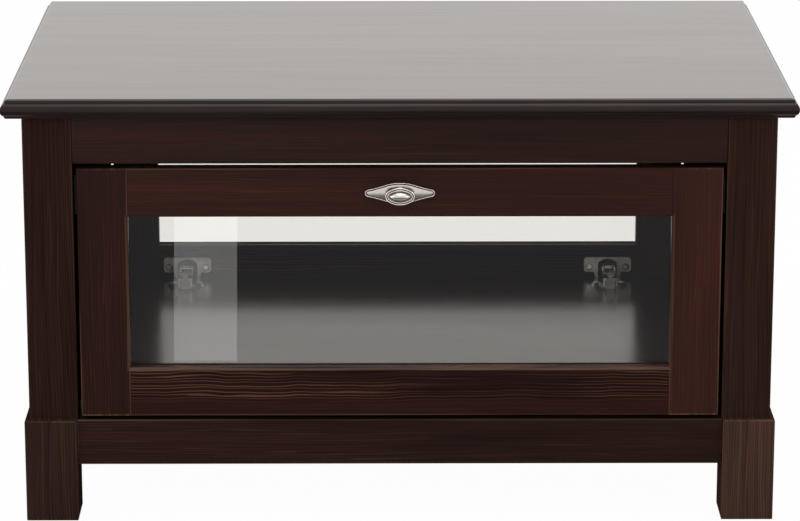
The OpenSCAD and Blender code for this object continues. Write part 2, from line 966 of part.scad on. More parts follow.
// Plate across the arm between two distances behind the flap, with its top at a height.
module arm_floor(from_u, to_u, w, top_v, t) {
    translate([0, (from_u + to_u) / 2, top_v - t / 2])
        cube([w, to_u - from_u, t], center = true);
}

module hinge_arm() {
    deep = 3 * sheet_t;
    high_v = arm_top_v + sheet_t;
    cheeks_uv(cheek_in, cheek_out)
        arm_outline(arm_back);
    difference() {
        arm_floor(arm_web_u, arm_back, 2 * cheek_out, arm_top_v, sheet_t);
        arm_floor(arm_web_u - cut, arm_bar_u, arm_window_w, high_v, deep);
        arm_floor(dish_u + dish_w / 2, arm_back + cut, dish_w, high_v, deep);
        translate([0, dish_u + dish_w / 2, arm_top_v])
            cylinder(d = dish_w, h = deep, center = true);
    }
    difference() {
        arm_floor(dish_u - dish_t, rib_back, 2 * cheek_in, dish_v, dish_t);
        arm_floor(arm_screw_back, arm_back, bolt_d + 2 * bore_fit, dish_v + cut, deep);
        arm_screw_place()
            cylinder(d = bolt_d + 2 * bore_fit, h = deep, center = true);
    }
    stub_pins_uv(short_arm_u, short_arm_v, pin_d, short_in - rivet_out, cheek_out);
    pin_uv(long_arm_u, long_arm_v, pin_d, 2 * cheek_out);
}

module hinge_arms() {
    color(metal_bright)
    both_ends()
        hinge_places()
            hinge_arm();
}

module arm_screw_place() {
    translate([0, arm_screw_back, dish_v])
        children();
}

module arm_screws() {
    color(metal_bright)
    both_ends()
        hinge_places()
            arm_screw_place()
                difference() {
                    union() {
                        cylinder(d = arm_head_d, h = arm_head_t);
                        translate([0, 0, -arm_screw_l])
                            cylinder(d = bolt_d, h = arm_screw_l + arm_head_t / 2);
                    }
                    for (a = [0, 90]) {
                        rotate([0, 0, a])
                            translate([0, 0, arm_head_t])
                                cube([arm_head_d - 2 * slot_w, slot_w, 2 * slot_deep], center = true);
                    }
                }
}

module wing_places() {
    for (s = [-1, 1]) {
        translate([s * wing_screw_gap / 2, wing_back, shelf_v + cone_h])
            children();
    }
}

module wing_screw_places() {
    both_ends()
        hinge_places()
            wing_places()
                children();
}

module hinge_plate() {
    difference() {
        union() {
            translate([0, (rib_back + rib_front) / 2, (shelf_v + seat_v) / 2])
                cube([rib_w, rib_back - rib_front, seat_v - shelf_v], center = true);
            translate([0, wing_back, shelf_v + wing_t / 2])
                cube([wing_screw_gap, wing_l, wing_t], center = true);
            wing_places()
                translate([0, 0, -cone_h])
                    cylinder(d1 = cone_d, d2 = cone_top_d, h = cone_h);
        }
        wing_places()
            wood_screw_bore(screw_l);
        arm_screw_place()
            translate([0, 0, -arm_screw_l - end_fit])
                cylinder(d = bolt_d + 2 * bore_fit, h = arm_screw_l + end_fit);
    }
}

module hinge_plates() {
    color(metal_bright)
    both_ends()
        hinge_places()
            hinge_plate();
}

module fitting_screws() {
    color(metal_bright) {
        wing_screw_places()
            wood_screw(screw_l);
        four_ways()
            catch_screw_places()
                wood_screw(screw_l);
    }
}

// Pieces of a flap, drawn for the front one.
module window_cut() {
    slope = window_slope;
    low = -post_out_y;
    intersection() {
        translate([0, 0, window_mid_z])
            linear_extrude(height = 2 * flap_h, center = true)
                polygon([
                    [-window_x - slope - cut, low - cut], [window_x + slope + cut, low - cut],
                    [window_x, low + slope], [window_x, 0], [-window_x, 0], [-window_x, low + slope]
                ]);
        rotate([90, 0, 90])
            linear_extrude(height = 2 * table_w, center = true)
                polygon([
                    [low - cut, window_z0 - slope - cut], [low - cut, window_z1 + slope + cut],
                    [low + slope, window_z1], [0, window_z1], [0, window_z0], [low + slope, window_z0]
                ]);
    }
}

module rebate_cut() {
    block([-window_x - rebate_w, -rebate_y, window_z0 - rebate_w],
        [window_x + rebate_w, 0, window_z1 + rebate_w]);
}

module tenon_pair(z, grow) {
    reach = 2 * (window_x + tenon_l + grow);
    translate([0, -tenon_y, z])
        cube([reach, tenon_t + 2 * grow, tenon_w + 2 * grow], center = true);
}

module strike_places() {
    for (s = [-1, 1]) {
        translate([s * strike_x, -flap_in_y, catch_z])
            children();
    }
}

module strike_screw_places() {
    strike_places()
        translate([0, strike_t, 0])
            rotate([-90, 0, 0])
                children();
}

module cup_bores() {
    hinge_places() {
        rotate([90, 0, 0])
            translate([0, cup_v, -cut])
                cylinder(d = cup_d + 2 * cup_fit, h = cup_deep + 2 * cup_fit + cut, $fn = 96);
        cup_screw_places()
            wood_screw_bore(screw_l);
    }
}

module stile() {
    color(wood_red)
    difference() {
        translate([flap_half - stile_w / 2, -post_out_y + flap_t / 2, flap_mid_z])
            bar_z(stile_w, flap_t, flap_h, flap_ease);
        window_cut();
        rebate_cut();
        tenon_pair(tenon_low_z, bore_fit);
        tenon_pair(tenon_top_z, bore_fit);
        cup_bores();
        strike_screw_places()
            wood_screw_bore(screw_l);
    }
}

module cross_rail(z, tenon_z) {
    color(wood_red)
    difference() {
        union() {
            translate([0, -post_out_y + flap_t / 2, z])
                bar_x(2 * window_x, flap_t, stile_w, flap_ease);
            tenon_pair(tenon_z, 0);
        }
        window_cut();
        rebate_cut();
        cup_bores();
        translate([0, -post_out_y + flap_t / 2, handle_z])
            rod_y(bolt_d + 2 * bore_fit, 2 * flap_t);
    }
}

module glass() {
    color([0.75, 0.82, 0.80, 0.35])
        block([-window_x - rebate_w + panel_fit, -rebate_y, window_z0 - rebate_w + panel_fit],
            [window_x + rebate_w - panel_fit, -rebate_y + glass_t, window_z1 + rebate_w - panel_fit]);
}

// Four beads with mitred ends, each its own strip.
module bead_strip(half_l, half_h) {
    out_l = half_l + rebate_w - panel_fit;
    rotate([90, 0, 0])
        linear_extrude(height = bead_t, center = true)
            polygon([
                [-half_l, -half_h], [half_l, -half_h],
                [out_l, -half_h - rebate_w + panel_fit], [-out_l, -half_h - rebate_w + panel_fit]
            ]);
}

module beads() {
    half_z = (window_z1 - window_z0) / 2;
    color(wood_red)
    translate([0, -flap_in_y - bead_t / 2, window_mid_z]) {
        for (a = [0, 180]) {
            rotate([0, a, 0])
                bead_strip(window_x - bead_joint, half_z);
        }
        for (a = [90, 270]) {
            rotate([0, a, 0])
                bead_strip(half_z - bead_joint, window_x);
        }
    }
}

// Outline of the backplate: a full middle, hollow shoulders and round tips, drawn inset by d.
module backplate_outline(d) {
    belly_y = plate_h / 2 - plate_belly;
    tip_x = plate_l / 2 - plate_tip;
    span = norm([tip_x, belly_y]);
    to_belly = plate_belly + plate_hollow;
    to_tip = plate_tip + plate_hollow;
    along = (to_belly * to_belly - to_tip * to_tip + span * span) / (2 * span);
    off = sqrt(to_belly * to_belly - along * along);
    turn = atan2(-belly_y, tip_x);
    hollow_x = along * cos(turn) - off * sin(turn);
    hollow_y = belly_y + along * sin(turn) + off * cos(turn);
    belly_r = plate_belly - d;
    tip_r = plate_tip - d;
    touch_x = hollow_x * plate_belly / to_belly;
    end_x = tip_x + (hollow_x - tip_x) * plate_tip / to_tip;
    end_y = hollow_y * plate_tip / to_tip;
    difference() {
        union() {
            intersection() {
                translate([0, belly_y])
                    circle(belly_r, $fn = 128);
                translate([0, -belly_y])
                    circle(belly_r, $fn = 128);
                square([2 * touch_x, plate_h], center = true);
            }
            polygon([
                [-end_x, -end_y], [-touch_x, -plate_h / 2], [touch_x, -plate_h / 2], [end_x, -end_y],
                [end_x, end_y], [touch_x, plate_h / 2], [-touch_x, plate_h / 2], [-end_x, end_y]
            ]);
            for (s = [-1, 1]) {
                translate([s * tip_x, 0])
                    circle(tip_r);
            }
        }
        for (i = [-1, 1], j = [-1, 1]) {
            translate([i * hollow_x, j * hollow_y])
                circle(plate_hollow + d, $fn = 128);
        }
        for (j = [0, 1]) {
            mirror([0, j])
                difference() {
                    translate([-touch_x, 0])
                        square([2 * touch_x, plate_h]);
                    translate([0, belly_y])
                        circle(belly_r, $fn = 128);
                }
        }
    }
}

// Outline of the knob: an oval of two end arcs and two long arcs, drawn inset by d.
module oval_outline(l, h, r_end, d) {
    end_x = l / 2 - r_end;
    long_r = (end_x * end_x + h * h / 4 - r_end * r_end) / (h - 2 * r_end);
    long_y = long_r - h / 2;
    reach = end_x * (long_r - d) / (long_r - r_end);
    intersection() {
        translate([0, long_y])
            circle(long_r - d, $fn = 128);
        translate([0, -long_y])
            circle(long_r - d, $fn = 128);
        square([2 * reach, h], center = true);
    }
    for (s = [-1, 1]) {
        translate([s * end_x, 0])
            circle(r_end - d, $fn = 64);
    }
}

// Plate on the outer face of the flap, from one distance out to another.
module face_plate(from, to) {
    translate([0, -post_out_y - from, handle_z])
        rotate([90, 0, 0])
            linear_extrude(height = to - from)
                children();
}

module backplate() {
    base = plate_t - plate_rim;
    high = plate_t + plate_rise;
    color(metal_old)
    difference() {
        union() {
            face_plate(0, base)
                backplate_outline(0);
            face_plate(0, plate_t)
                difference() {
                    backplate_outline(border_edge);
                    backplate_outline(plate_border);
                }
            intersection() {
                face_plate(0, high)
                    backplate_outline(plate_border + plate_groove);
                translate([0, -post_out_y - high + pillow_r, handle_z])
                    rod_x(2 * pillow_r, plate_l, $fn = 128);
                translate([0, -post_out_y - high + pillow_long_r, handle_z])
                    cylinder(r = pillow_long_r, h = plate_h, center = true, $fn = 512);
            }
        }
        face_plate(base, high + cut)
            circle(d = collar_d + 2 * bore_fit);
        translate([0, -post_out_y, handle_z])
            rod_y(bolt_d + 2 * bore_fit, 4 * plate_t);
    }
}

module knob() {
    base = plate_t - plate_rim;
    back = knob_out - knob_t;
    step = back + knob_step_t;
    bead_in = knob_rim + 2 * knob_groove;
    sink = (almond_l * almond_l / 4 - almond_out * almond_out) / (2 * almond_out);
    round_r = sink + almond_out;
    side = (round_r * round_r - sink * sink - almond_h * almond_h / 4) / almond_h;
    ball_r = norm([round_r, side]);
    color(metal_old)
    difference() {
        union() {
            face_plate(base, back + stem_in)
                circle(d = neck_d);
            face_plate(base, base + collar_t)
                circle(d = collar_d);
            face_plate(back, step)
                oval_outline(knob_l, knob_h, knob_end, knob_step);
            face_plate(step, knob_out - knob_edge_t)
                oval_outline(knob_l, knob_h, knob_end, 0);
            face_plate(step, knob_out - knob_edge)
                oval_outline(knob_l, knob_h, knob_end, knob_edge);
            face_plate(step, knob_out)
                difference() {
                    oval_outline(knob_l, knob_h, knob_end, knob_rim + knob_groove);
                    oval_outline(knob_l, knob_h, knob_end, bead_in);
                }
            intersection() {
                translate([0, -post_out_y - knob_out + almond_sink + sink, handle_z + side])
                    sphere(ball_r, $fn = 96);
                translate([0, -post_out_y - knob_out + almond_sink + sink, handle_z - side])
                    sphere(ball_r, $fn = 96);
                face_plate(step, knob_out + almond_out)
                    square([almond_l, almond_h], center = true);
            }
        }
        face_plate(knob_out - knob_deep, knob_out + cut)
            difference() {
                oval_outline(knob_l, knob_h, knob_end, knob_rim);
                oval_outline(knob_l, knob_h, knob_end, knob_rim + knob_groove);
            }
        translate([0, -post_out_y, handle_z])
            rod_y(bolt_d + 2 * bore_fit, 2 * (back + almond_seat));
    }
}

module knob_screw() {
    reach = flap_t + knob_out - knob_t + stem_in;
    color(metal_bright)
    translate([0, -flap_in_y, handle_z])
        rotate([90, 0, 0])
            difference() {
                union() {
                    cylinder(d = bolt_d, h = reach);
                    translate([0, 0, -knob_head_t])
                        cylinder(d = 2 * bolt_d, h = knob_head_t);
                }
                for (a = [0, 90]) {
                    rotate([0, 0, a])
                        translate([0, 0, -knob_head_t])
                            cube([1.2 * bolt_d, slot_w, 2 * slot_deep], center = true);
                }
            }
}

module flap_screws() {
    color(metal_bright) {
        hinge_places()
            cup_screw_places()
                wood_screw(screw_l);
        strike_screw_places()
            wood_screw(screw_l);
    }
}

module strikes() {
    color(metal_bright)
    difference() {
        strike_places()
            translate([0, strike_t / 2, 0])
                cube([strike_w, strike_t, strike_l], center = true);
        strike_screw_places()
            wood_screw_bore(screw_l);
    }
}

module front_stile_right() { stile(); }
module front_stile_left() { mirror([1, 0, 0]) stile(); }
module front_cross_rail_top() { cross_rail(flap_z1 - stile_w / 2, tenon_top_z); }
module front_cross_rail_low() { cross_rail(flap_z0 + stile_w / 2, tenon_low_z); }
module front_glass() { glass(); }
module front_beads() { beads(); }
module front_backplate() { backplate(); }
module front_knob() { knob(); }
module front_knob_screw() { knob_screw(); }
module front_cups() { cups(); }
module front_flap_screws() { flap_screws(); }
module front_strikes() { strikes(); }
module front_short_links() { short_links(); }
module front_long_links() { long_links(); }

module back_stile_left() { rotate([0, 0, 180]) front_stile_right(); }
module back_stile_right() { rotate([0, 0, 180]) front_stile_left(); }
module back_cross_rail_top() { rotate([0, 0, 180]) front_cross_rail_top(); }
module back_cross_rail_low() { rotate([0, 0, 180]) front_cross_rail_low(); }
module back_glass() { rotate([0, 0, 180]) glass(); }
module back_beads() { rotate([0, 0, 180]) beads(); }
module back_backplate() { rotate([0, 0, 180]) backplate(); }
module back_knob() { rotate([0, 0, 180]) knob(); }
module back_knob_screw() { rotate([0, 0, 180]) knob_screw(); }
module back_cups() { rotate([0, 0, 180]) cups(); }
module back_flap_screws() { rotate([0, 0, 180]) flap_screws(); }
module back_strikes() { rotate([0, 0, 180]) strikes(); }
module back_short_links() { rotate([0, 0, 180]) short_links(); }
module back_long_links() { rotate([0, 0, 180]) long_links(); }

table_top();
post_front_left();
post_front_right();
post_back_left();
post_back_right();
foot_front_left();
foot_front_right();
foot_back_left();
foot_back_right();
apron_front();
apron_back();
apron_left();
apron_right();
rail_front();
rail_back();
rail_left();
rail_right();
side_panel_left();
side_panel_right();
shelf();
top_batten_front();
top_batten_back();
shelf_batten_front();
shelf_batten_back();
frame_dowels();
batten_screws();
catch_cases();
catch_magnets();
hinge_plates();
hinge_arms();
arm_screws();
fitting_screws();
front_stile_left();
front_stile_right();
front_cross_rail_top();
front_cross_rail_low();
front_glass();
front_beads();
front_backplate();
front_knob();
front_knob_screw();
front_cups();
front_flap_screws();
front_strikes();
front_short_links();
front_long_links();
back_stile_left();
back_stile_right();
back_cross_rail_top();
back_cross_rail_low();
back_glass();
back_beads();
back_backplate();
back_knob();
back_knob_screw();
back_cups();
back_flap_screws();
back_strikes();
back_short_links();
back_long_links();
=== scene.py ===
"""Looks of a low glazed cabinet table in dark stained pine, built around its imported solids."""

import math

import bmesh
import bpy
import numpy as np
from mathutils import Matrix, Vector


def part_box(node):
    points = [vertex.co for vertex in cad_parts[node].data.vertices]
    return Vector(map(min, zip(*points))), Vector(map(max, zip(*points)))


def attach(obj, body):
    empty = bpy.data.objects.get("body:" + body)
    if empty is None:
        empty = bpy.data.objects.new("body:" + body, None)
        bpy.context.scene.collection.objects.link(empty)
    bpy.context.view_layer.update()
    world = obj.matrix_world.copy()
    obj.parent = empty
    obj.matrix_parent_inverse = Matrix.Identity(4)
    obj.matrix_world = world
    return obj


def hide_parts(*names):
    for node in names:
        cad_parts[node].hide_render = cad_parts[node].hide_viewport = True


bl_info = {
    "name": "Glazed Cabinet Table",
    "version": (1, 0, 0),
    "blender": (4, 5, 0),
    "location": "View3D > Sidebar > Table",
    "description": "Stained pine, aged nickel, steel and glass for a low cabinet table, with its studio",
    "category": "Object",
}

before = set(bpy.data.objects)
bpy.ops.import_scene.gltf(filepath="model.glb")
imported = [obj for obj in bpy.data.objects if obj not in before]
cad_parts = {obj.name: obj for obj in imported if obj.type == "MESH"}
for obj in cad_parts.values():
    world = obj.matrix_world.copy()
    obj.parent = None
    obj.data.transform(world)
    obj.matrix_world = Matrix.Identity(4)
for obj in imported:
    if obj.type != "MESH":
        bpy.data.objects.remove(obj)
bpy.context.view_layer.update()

# Each flap with the sign of Y that it faces, then places and sizes round it and the top, in metres

FLAPS = {"front": -1.0, "back": 1.0}
STILE_LOW, STILE_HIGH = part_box("front_stile_left")
PLATE_LOW, PLATE_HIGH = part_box("front_backplate")
KNOB_LOW, KNOB_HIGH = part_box("front_knob")
FACE_Y = abs(float(STILE_LOW[1]))
FLAP_IN_Y = abs(float(STILE_HIGH[1]))
HANDLE_Z = float(PLATE_LOW[2] + PLATE_HIGH[2]) / 2
WINDOW_X = abs(float(STILE_HIGH[0]))
WINDOW_LOW = float(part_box("front_cross_rail_low")[1][2])
WINDOW_HIGH = float(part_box("front_cross_rail_top")[0][2])
WINDOW_SLOPE = 0.0032
TOP_Z = float(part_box("table_top")[1][2])

# Backplate in metres: arcs of its outline, then thickness, border, groove, rim height and cushion

PLATE_L = float(PLATE_HIGH[0] - PLATE_LOW[0])
PLATE_H = float(PLATE_HIGH[2] - PLATE_LOW[2])
PLATE_TIP = 0.0044
PLATE_BELLY = 0.056
PLATE_HOLLOW = 0.160
PLATE_T = 0.0026
PLATE_BORDER = 0.0013
PLATE_GROOVE = 0.0012
PLATE_RIM = 0.0008
PLATE_RISE = 0.0007
PILLOW_R = 0.046
PILLOW_LONG_R = 0.700
FIELD_SHARES = (0.99, 0.94, 0.85, 0.72, 0.55, 0.35, 0.15, 0.0)

# Knob in metres: end arc of its outline, then reach, thickness, rim, groove, neck and almond boss

KNOB_L = float(KNOB_HIGH[0] - KNOB_LOW[0])
KNOB_H = float(KNOB_HIGH[2] - KNOB_LOW[2])
KNOB_END = 0.0076
KNOB_OUT = 0.020
KNOB_T = 0.0064
KNOB_RIM = 0.0017
KNOB_GROOVE = 0.0010
KNOB_EDGE = 0.0008
KNOB_DEEP = 0.0016
NECK_R = 0.0055
COLLAR_R = 0.0075
ALMOND_L = 0.0248
ALMOND_H = 0.0098
ALMOND_OUT = 0.0029
ALMOND_POLISH = 0.15
BLEND_SHARES = (0.35, 0.75)
DOME_SHARES = (1.0, 0.985, 0.95, 0.88, 0.78, 0.64, 0.46, 0.28, 0.12, 0.0)

# Small edges of backplate and knob

BEVEL = 0.0004
FILLET = 0.0003

# Hinge cups: distance from x = 0, distance of a flange screw from the cup's middle, height of the screws

HINGE_X = 0.273
FLANGE_SCREW = 0.024
FLANGE_Z = 0.153

# Where wear and dirt fade, in metres from an edge, the window and a board's end, edges also with a painted
# highlight; and the ring of painted shade round a flange screw

EDGE_RUB_AND_GLINT = (0.0006, 0.0024)
SLOPE_WORN = (WINDOW_SLOPE - 0.0004, WINDOW_SLOPE + 0.0006)
SEAM_DIRT = (0.0014, 0.0006)
DIMPLE_SHADE_INNER = (0.0028, 0.0034)
DIMPLE_SHADE_OUTER = (0.0044, 0.0052)

# Where the slope round the window begins, from y = 0, and the top's full varnish, in height

SLOPE_DEEP = (FACE_Y - WINDOW_SLOPE - 0.0010, FACE_Y - WINDOW_SLOPE)
COAT_EDGE = (TOP_Z - 0.0016, TOP_Z - 0.0002)

# Noise over the wood: share of the length that counts along the grain, scale, detail and roughness

PATCHES = (0.14, 13.0, 3.0, 0.6)
FIBRES = (0.012, 420.0, 4.0, 0.6)
TONES = (0.07, 26.0, 3.0, 0.6)
HUES = (0.10, 60.0, 2.0, 0.5)

# Sideways drift of the pith line for each metre along a board

PITH_TILT = 0.008

# Specular levels of the wood, mirror share and tint of the panes

WOOD_SHINE = 0.09
TOP_SHINE = 0.25
SHELF_SHINE = 0.8
GLASS_MIRROR = 0.04
GLASS_TINT = (0.973, 0.966, 0.954)

# Colours that no setting holds

DOWEL_BEECH = (0.50, 0.34, 0.18)
CATCH_BLACK = (0.012, 0.010, 0.009)
MAGNET_GREY = (0.045, 0.045, 0.048)
WHITE = (1.0, 1.0, 1.0, 1.0)

# Studio in metres: each lamp's place, target, size and watts, then floor, cards and camera

LAMPS = {
    "top_lamp": ((0.2, -0.6, 2.9), (0.0, 0.0, 0.3), (2.2, 1.6), 26.0),
    "left_lamp": ((-2.4, -1.8, 1.7), (0.0, 0.0, 0.25), (1.3, 1.5), 14.0),
    "right_lamp": ((2.4, -2.2, 1.5), (0.0, 0.0, 0.25), (1.3, 1.5), 12.0),
}
FLOOR_HALF = 9.0
FLOOR_GLOW = 0.975
STRIP_FAR_X = (-0.3476, -0.2483)
STRIP_NEAR_X = (-0.2923, -0.2099)
STRIP_Y = (-1.80, -0.80)
STRIP_Z = 0.006
STRIP_GLOW = 1.45
# Dim card that only shows in reflections: a painted dark reflection
DARK_CARD_X = (-1.1, 1.1)
DARK_CARD_Y = (-1.68, -0.33)
DARK_CARD_Z = 0.004
DARK_CARD_GLOW = 0.23
CAMERA_PLACE = (-0.0218, -4.2326, 1.3663)
SENSOR_WIDTH = 36.0
CLIP_START = 0.05


# Settings that a user can change


class TableWood(bpy.types.PropertyGroup):
    """Stain colours and gloss of the wood."""

    dark: bpy.props.FloatVectorProperty(
        name="Dark stain", description="Stain on the aprons, rails, panels, shelf and top",
        default=(0.0195, 0.0078, 0.0052), size=3, subtype="COLOR", min=0.0, max=1.0)
    post: bpy.props.FloatVectorProperty(
        name="Post stain", description="Stain on the posts, a little browner",
        default=(0.0198, 0.0102, 0.0078), size=3, subtype="COLOR", min=0.0, max=1.0)
    foot: bpy.props.FloatVectorProperty(
        name="Foot stain", description="Stain on the feet, thinner and greyer",
        default=(0.0240, 0.0138, 0.0105), size=3, subtype="COLOR", min=0.0, max=1.0)
    red: bpy.props.FloatVectorProperty(
        name="Red stain", description="Stain on the flaps",
        default=(0.0265, 0.0082, 0.0056), size=3, subtype="COLOR", min=0.0, max=1.0)
    streak: bpy.props.FloatVectorProperty(
        name="Growth lines", description="Colour of the hard growth lines that take little stain",
        default=(0.150, 0.058, 0.034), size=3, subtype="COLOR", min=0.0, max=1.0)
    # The rubbed-edge colour also paints the highlight on eased edges
    bare_and_glint: bpy.props.FloatVectorProperty(
        name="Rubbed edges", description="Wood that shows where the stain is rubbed thin",
        default=(0.150, 0.085, 0.052), size=3, subtype="COLOR", min=0.0, max=1.0)
    gloss: bpy.props.FloatProperty(
        name="Roughness", description="Roughness of the varnish",
        default=0.36, min=0.05, max=1.0, subtype="FACTOR")


class TableMetal(bpy.types.PropertyGroup):
    """Colours of the fittings."""

    nickel: bpy.props.FloatVectorProperty(
        name="Nickel", description="Aged nickel on the raised parts of the handle",
        default=(0.97, 0.89, 0.83), size=3, subtype="COLOR", min=0.0, max=1.0)
    grime: bpy.props.FloatVectorProperty(
        name="Grime", description="Dark colour left in the handle's grooves",
        default=(0.10, 0.072, 0.058), size=3, subtype="COLOR", min=0.0, max=1.0)
    steel: bpy.props.FloatVectorProperty(
        name="Steel", description="Plated steel of hinges, screws and strikes",
        default=(0.66, 0.65, 0.62), size=3, subtype="COLOR", min=0.0, max=1.0)


class TableStage(bpy.types.PropertyGroup):
    """Floor, light and camera."""

    floor: bpy.props.FloatVectorProperty(
        name="Floor", description="Colour of the floor",
        default=(0.90, 0.90, 0.90), size=3, subtype="COLOR", min=0.0, max=1.0)
    sky: bpy.props.FloatProperty(
        name="Room light", description="Strength of the even light of the room",
        default=0.62, min=0.0, max=2.0)
    lens: bpy.props.FloatProperty(
        name="Lens", description="Focal length in millimetres on a 36 mm sensor",
        default=161.26, min=20.0, max=400.0)
    pitch: bpy.props.FloatProperty(
        name="Pitch", description="How far the camera looks down",
        default=math.radians(14.983), subtype="ANGLE", unit="ROTATION")
    yaw: bpy.props.FloatProperty(
        name="Yaw", description="How far the camera looks to the right",
        default=math.radians(0.318), subtype="ANGLE", unit="ROTATION")


# Shader maths as expressions


class Wire:
    """A shader socket that takes Python operators, each of which adds one Math node."""

    def __init__(self, paint, socket):
        self.paint = paint
        self.socket = socket

    def math(self, operation, *others):
        values = dict(enumerate((self,) + others))
        return self.paint.node("ShaderNodeMath", {"operation": operation}, values)

    def __add__(self, other):
        return self.math("ADD", other)

    def __sub__(self, other):
        return self.math("SUBTRACT", other)

    def __mul__(self, other):
        return self.math("MULTIPLY", other)

    def __rsub__(self, other):
        return self.paint.node("ShaderNodeMath", {"operation": "SUBTRACT"}, {0: other, 1: self})

    __radd__ = __add__
    __rmul__ = __mul__

    def clamp(self):
        return self.math("MAXIMUM", 0.0).math("MINIMUM", 1.0)

    def step(self, low, high):
        """Smooth rise from 0 at low to 1 at high."""
        return self.paint.node("ShaderNodeMapRange", {"interpolation_type": "SMOOTHSTEP"}, {
            "Value": self, "From Min": low, "From Max": high, "To Min": 0.0, "To Max": 1.0})


class Paint:
    """The node tree of one material, or of the room's light, and the ways to fill it."""

    def __init__(self, name, room=False):
        self.owner = (bpy.data.worlds if room else bpy.data.materials).new(name)
        self.owner.use_nodes = True
        self.tree = self.owner.node_tree
        self.tree.nodes.clear()
        self.out = self.tree.nodes.new("ShaderNodeOutputWorld" if room else "ShaderNodeOutputMaterial")

    def node(self, kind, settings=None, values=None, output=0):
        """Adds a node of any type, sets its settings, then fills its sockets with values or links."""
        made = self.tree.nodes.new(kind)
        for key, value in (settings or {}).items():
            setattr(made, key, value)
        for key, value in (values or {}).items():
            if isinstance(value, Wire):
                self.tree.links.new(value.socket, made.inputs[key])
            else:
                made.inputs[key].default_value = value
        return Wire(self, made.outputs[output])

    def place(self, origin=(0.0, 0.0, 0.0)):
        """Object coordinates counted from a point, in metres."""
        coordinates = self.node("ShaderNodeTexCoord", output=3)
        values = {0: coordinates, 1: tuple(origin)}
        return self.node("ShaderNodeVectorMath", {"operation": "SUBTRACT"}, values)

    def split(self, vector):
        first = self.node("ShaderNodeSeparateXYZ", None, {0: vector})
        outputs = first.socket.node.outputs
        return [Wire(self, outputs[index]) for index in range(3)]

    def join(self, x, y, z):
        return self.node("ShaderNodeCombineXYZ", None, {0: x, 1: y, 2: z})

    def noise(self, vector, scale, detail=2.0, rough=0.5):
        return self.node("ShaderNodeTexNoise", None, {
            "Vector": vector, "Scale": scale, "Detail": detail, "Roughness": rough})

    def mix(self, factor, first, second):
        """Mixes two colours."""
        values = {0: factor, 6: first, 7: second}
        return self.node("ShaderNodeMix", {"data_type": "RGBA"}, values, output=2)

    def bump(self, height, strength, distance):
        return self.node("ShaderNodeBump", None, {
            "Strength": strength, "Distance": distance, "Height": height})

    def glow(self, strength):
        """White light of one strength."""
        return self.node("ShaderNodeEmission", None, {"Color": WHITE, "Strength": strength})

    def show(self, shader):
        """Joins a shader to the output."""
        self.tree.links.new(shader.socket, self.out.inputs["Surface"])
        return self.owner

    def surface(self, **values):
        """Shows a Principled surface, with its sockets named in lower case."""
        named = {}
        for key, value in values.items():
            named[key.replace("_", " ").title().replace("Ior", "IOR")] = value
        return self.show(self.node("ShaderNodeBsdfPrincipled", None, named))


# Colours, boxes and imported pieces


def shade(tone, factor):
    """A lighter or darker colour, in the form that a socket takes."""
    return (tone[0] * factor, tone[1] * factor, tone[2] * factor, 1.0)


def colour(tone):
    """The same colour, in the form that a socket takes."""
    return shade(tone, 1.0)


def plain_numbers(box):
    return [[float(value) for value in corner] for corner in box]


def set_material(name, material):
    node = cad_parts[name]
    node.data.materials.clear()
    node.data.materials.append(material)


# Wood


def edge_rub(paint, box, grain):
    """Brightness of rubbed edges, partly real wear and partly a painted highlight where eased edges catch
    light: 1 where a point lies near two faces of its piece's box at once.

    The middle one of its three distances from the nearest faces tells how near the second face is.
    """
    near = []
    for wire, start, end in zip(paint.split(paint.place()), *box):
        near.append((wire - start).math("ABSOLUTE").math("MINIMUM", (wire - end).math("ABSOLUTE")))
    one, two, three = near
    middle = (one + two + three) - one.math("MINIMUM", two).math("MINIMUM", three)
    middle = middle - one.math("MAXIMUM", two).math("MAXIMUM", three)
    return (1.0 - middle.step(*EDGE_RUB_AND_GLINT)) * grain.step(0.44, 0.62)


def window_rub(paint, grain):
    """Brightness of the rubbed slope round the window.

    It is 1 within the slope's width of the opening, where the point also lies near the flap's face.
    """
    x, y, z = paint.split(paint.place())
    beside = x.math("ABSOLUTE") - WINDOW_X
    above = (z - (WINDOW_LOW + WINDOW_HIGH) / 2).math("ABSOLUTE") - (WINDOW_HIGH - WINDOW_LOW) / 2
    outside = beside.math("MAXIMUM", above)
    near_face = y.math("ABSOLUTE").step(*SLOPE_DEEP)
    return (1.0 - outside.step(*SLOPE_WORN)) * near_face * grain.step(0.38, 0.60)


def grain_axes(paint, axis, origin):
    """Coordinates from an origin: two across the grain, then the one along it."""
    x, y, z = paint.split(paint.place(origin))
    return {"X": (y, z, x), "Y": (x, z, y), "Z": (x, y, z)}[axis]


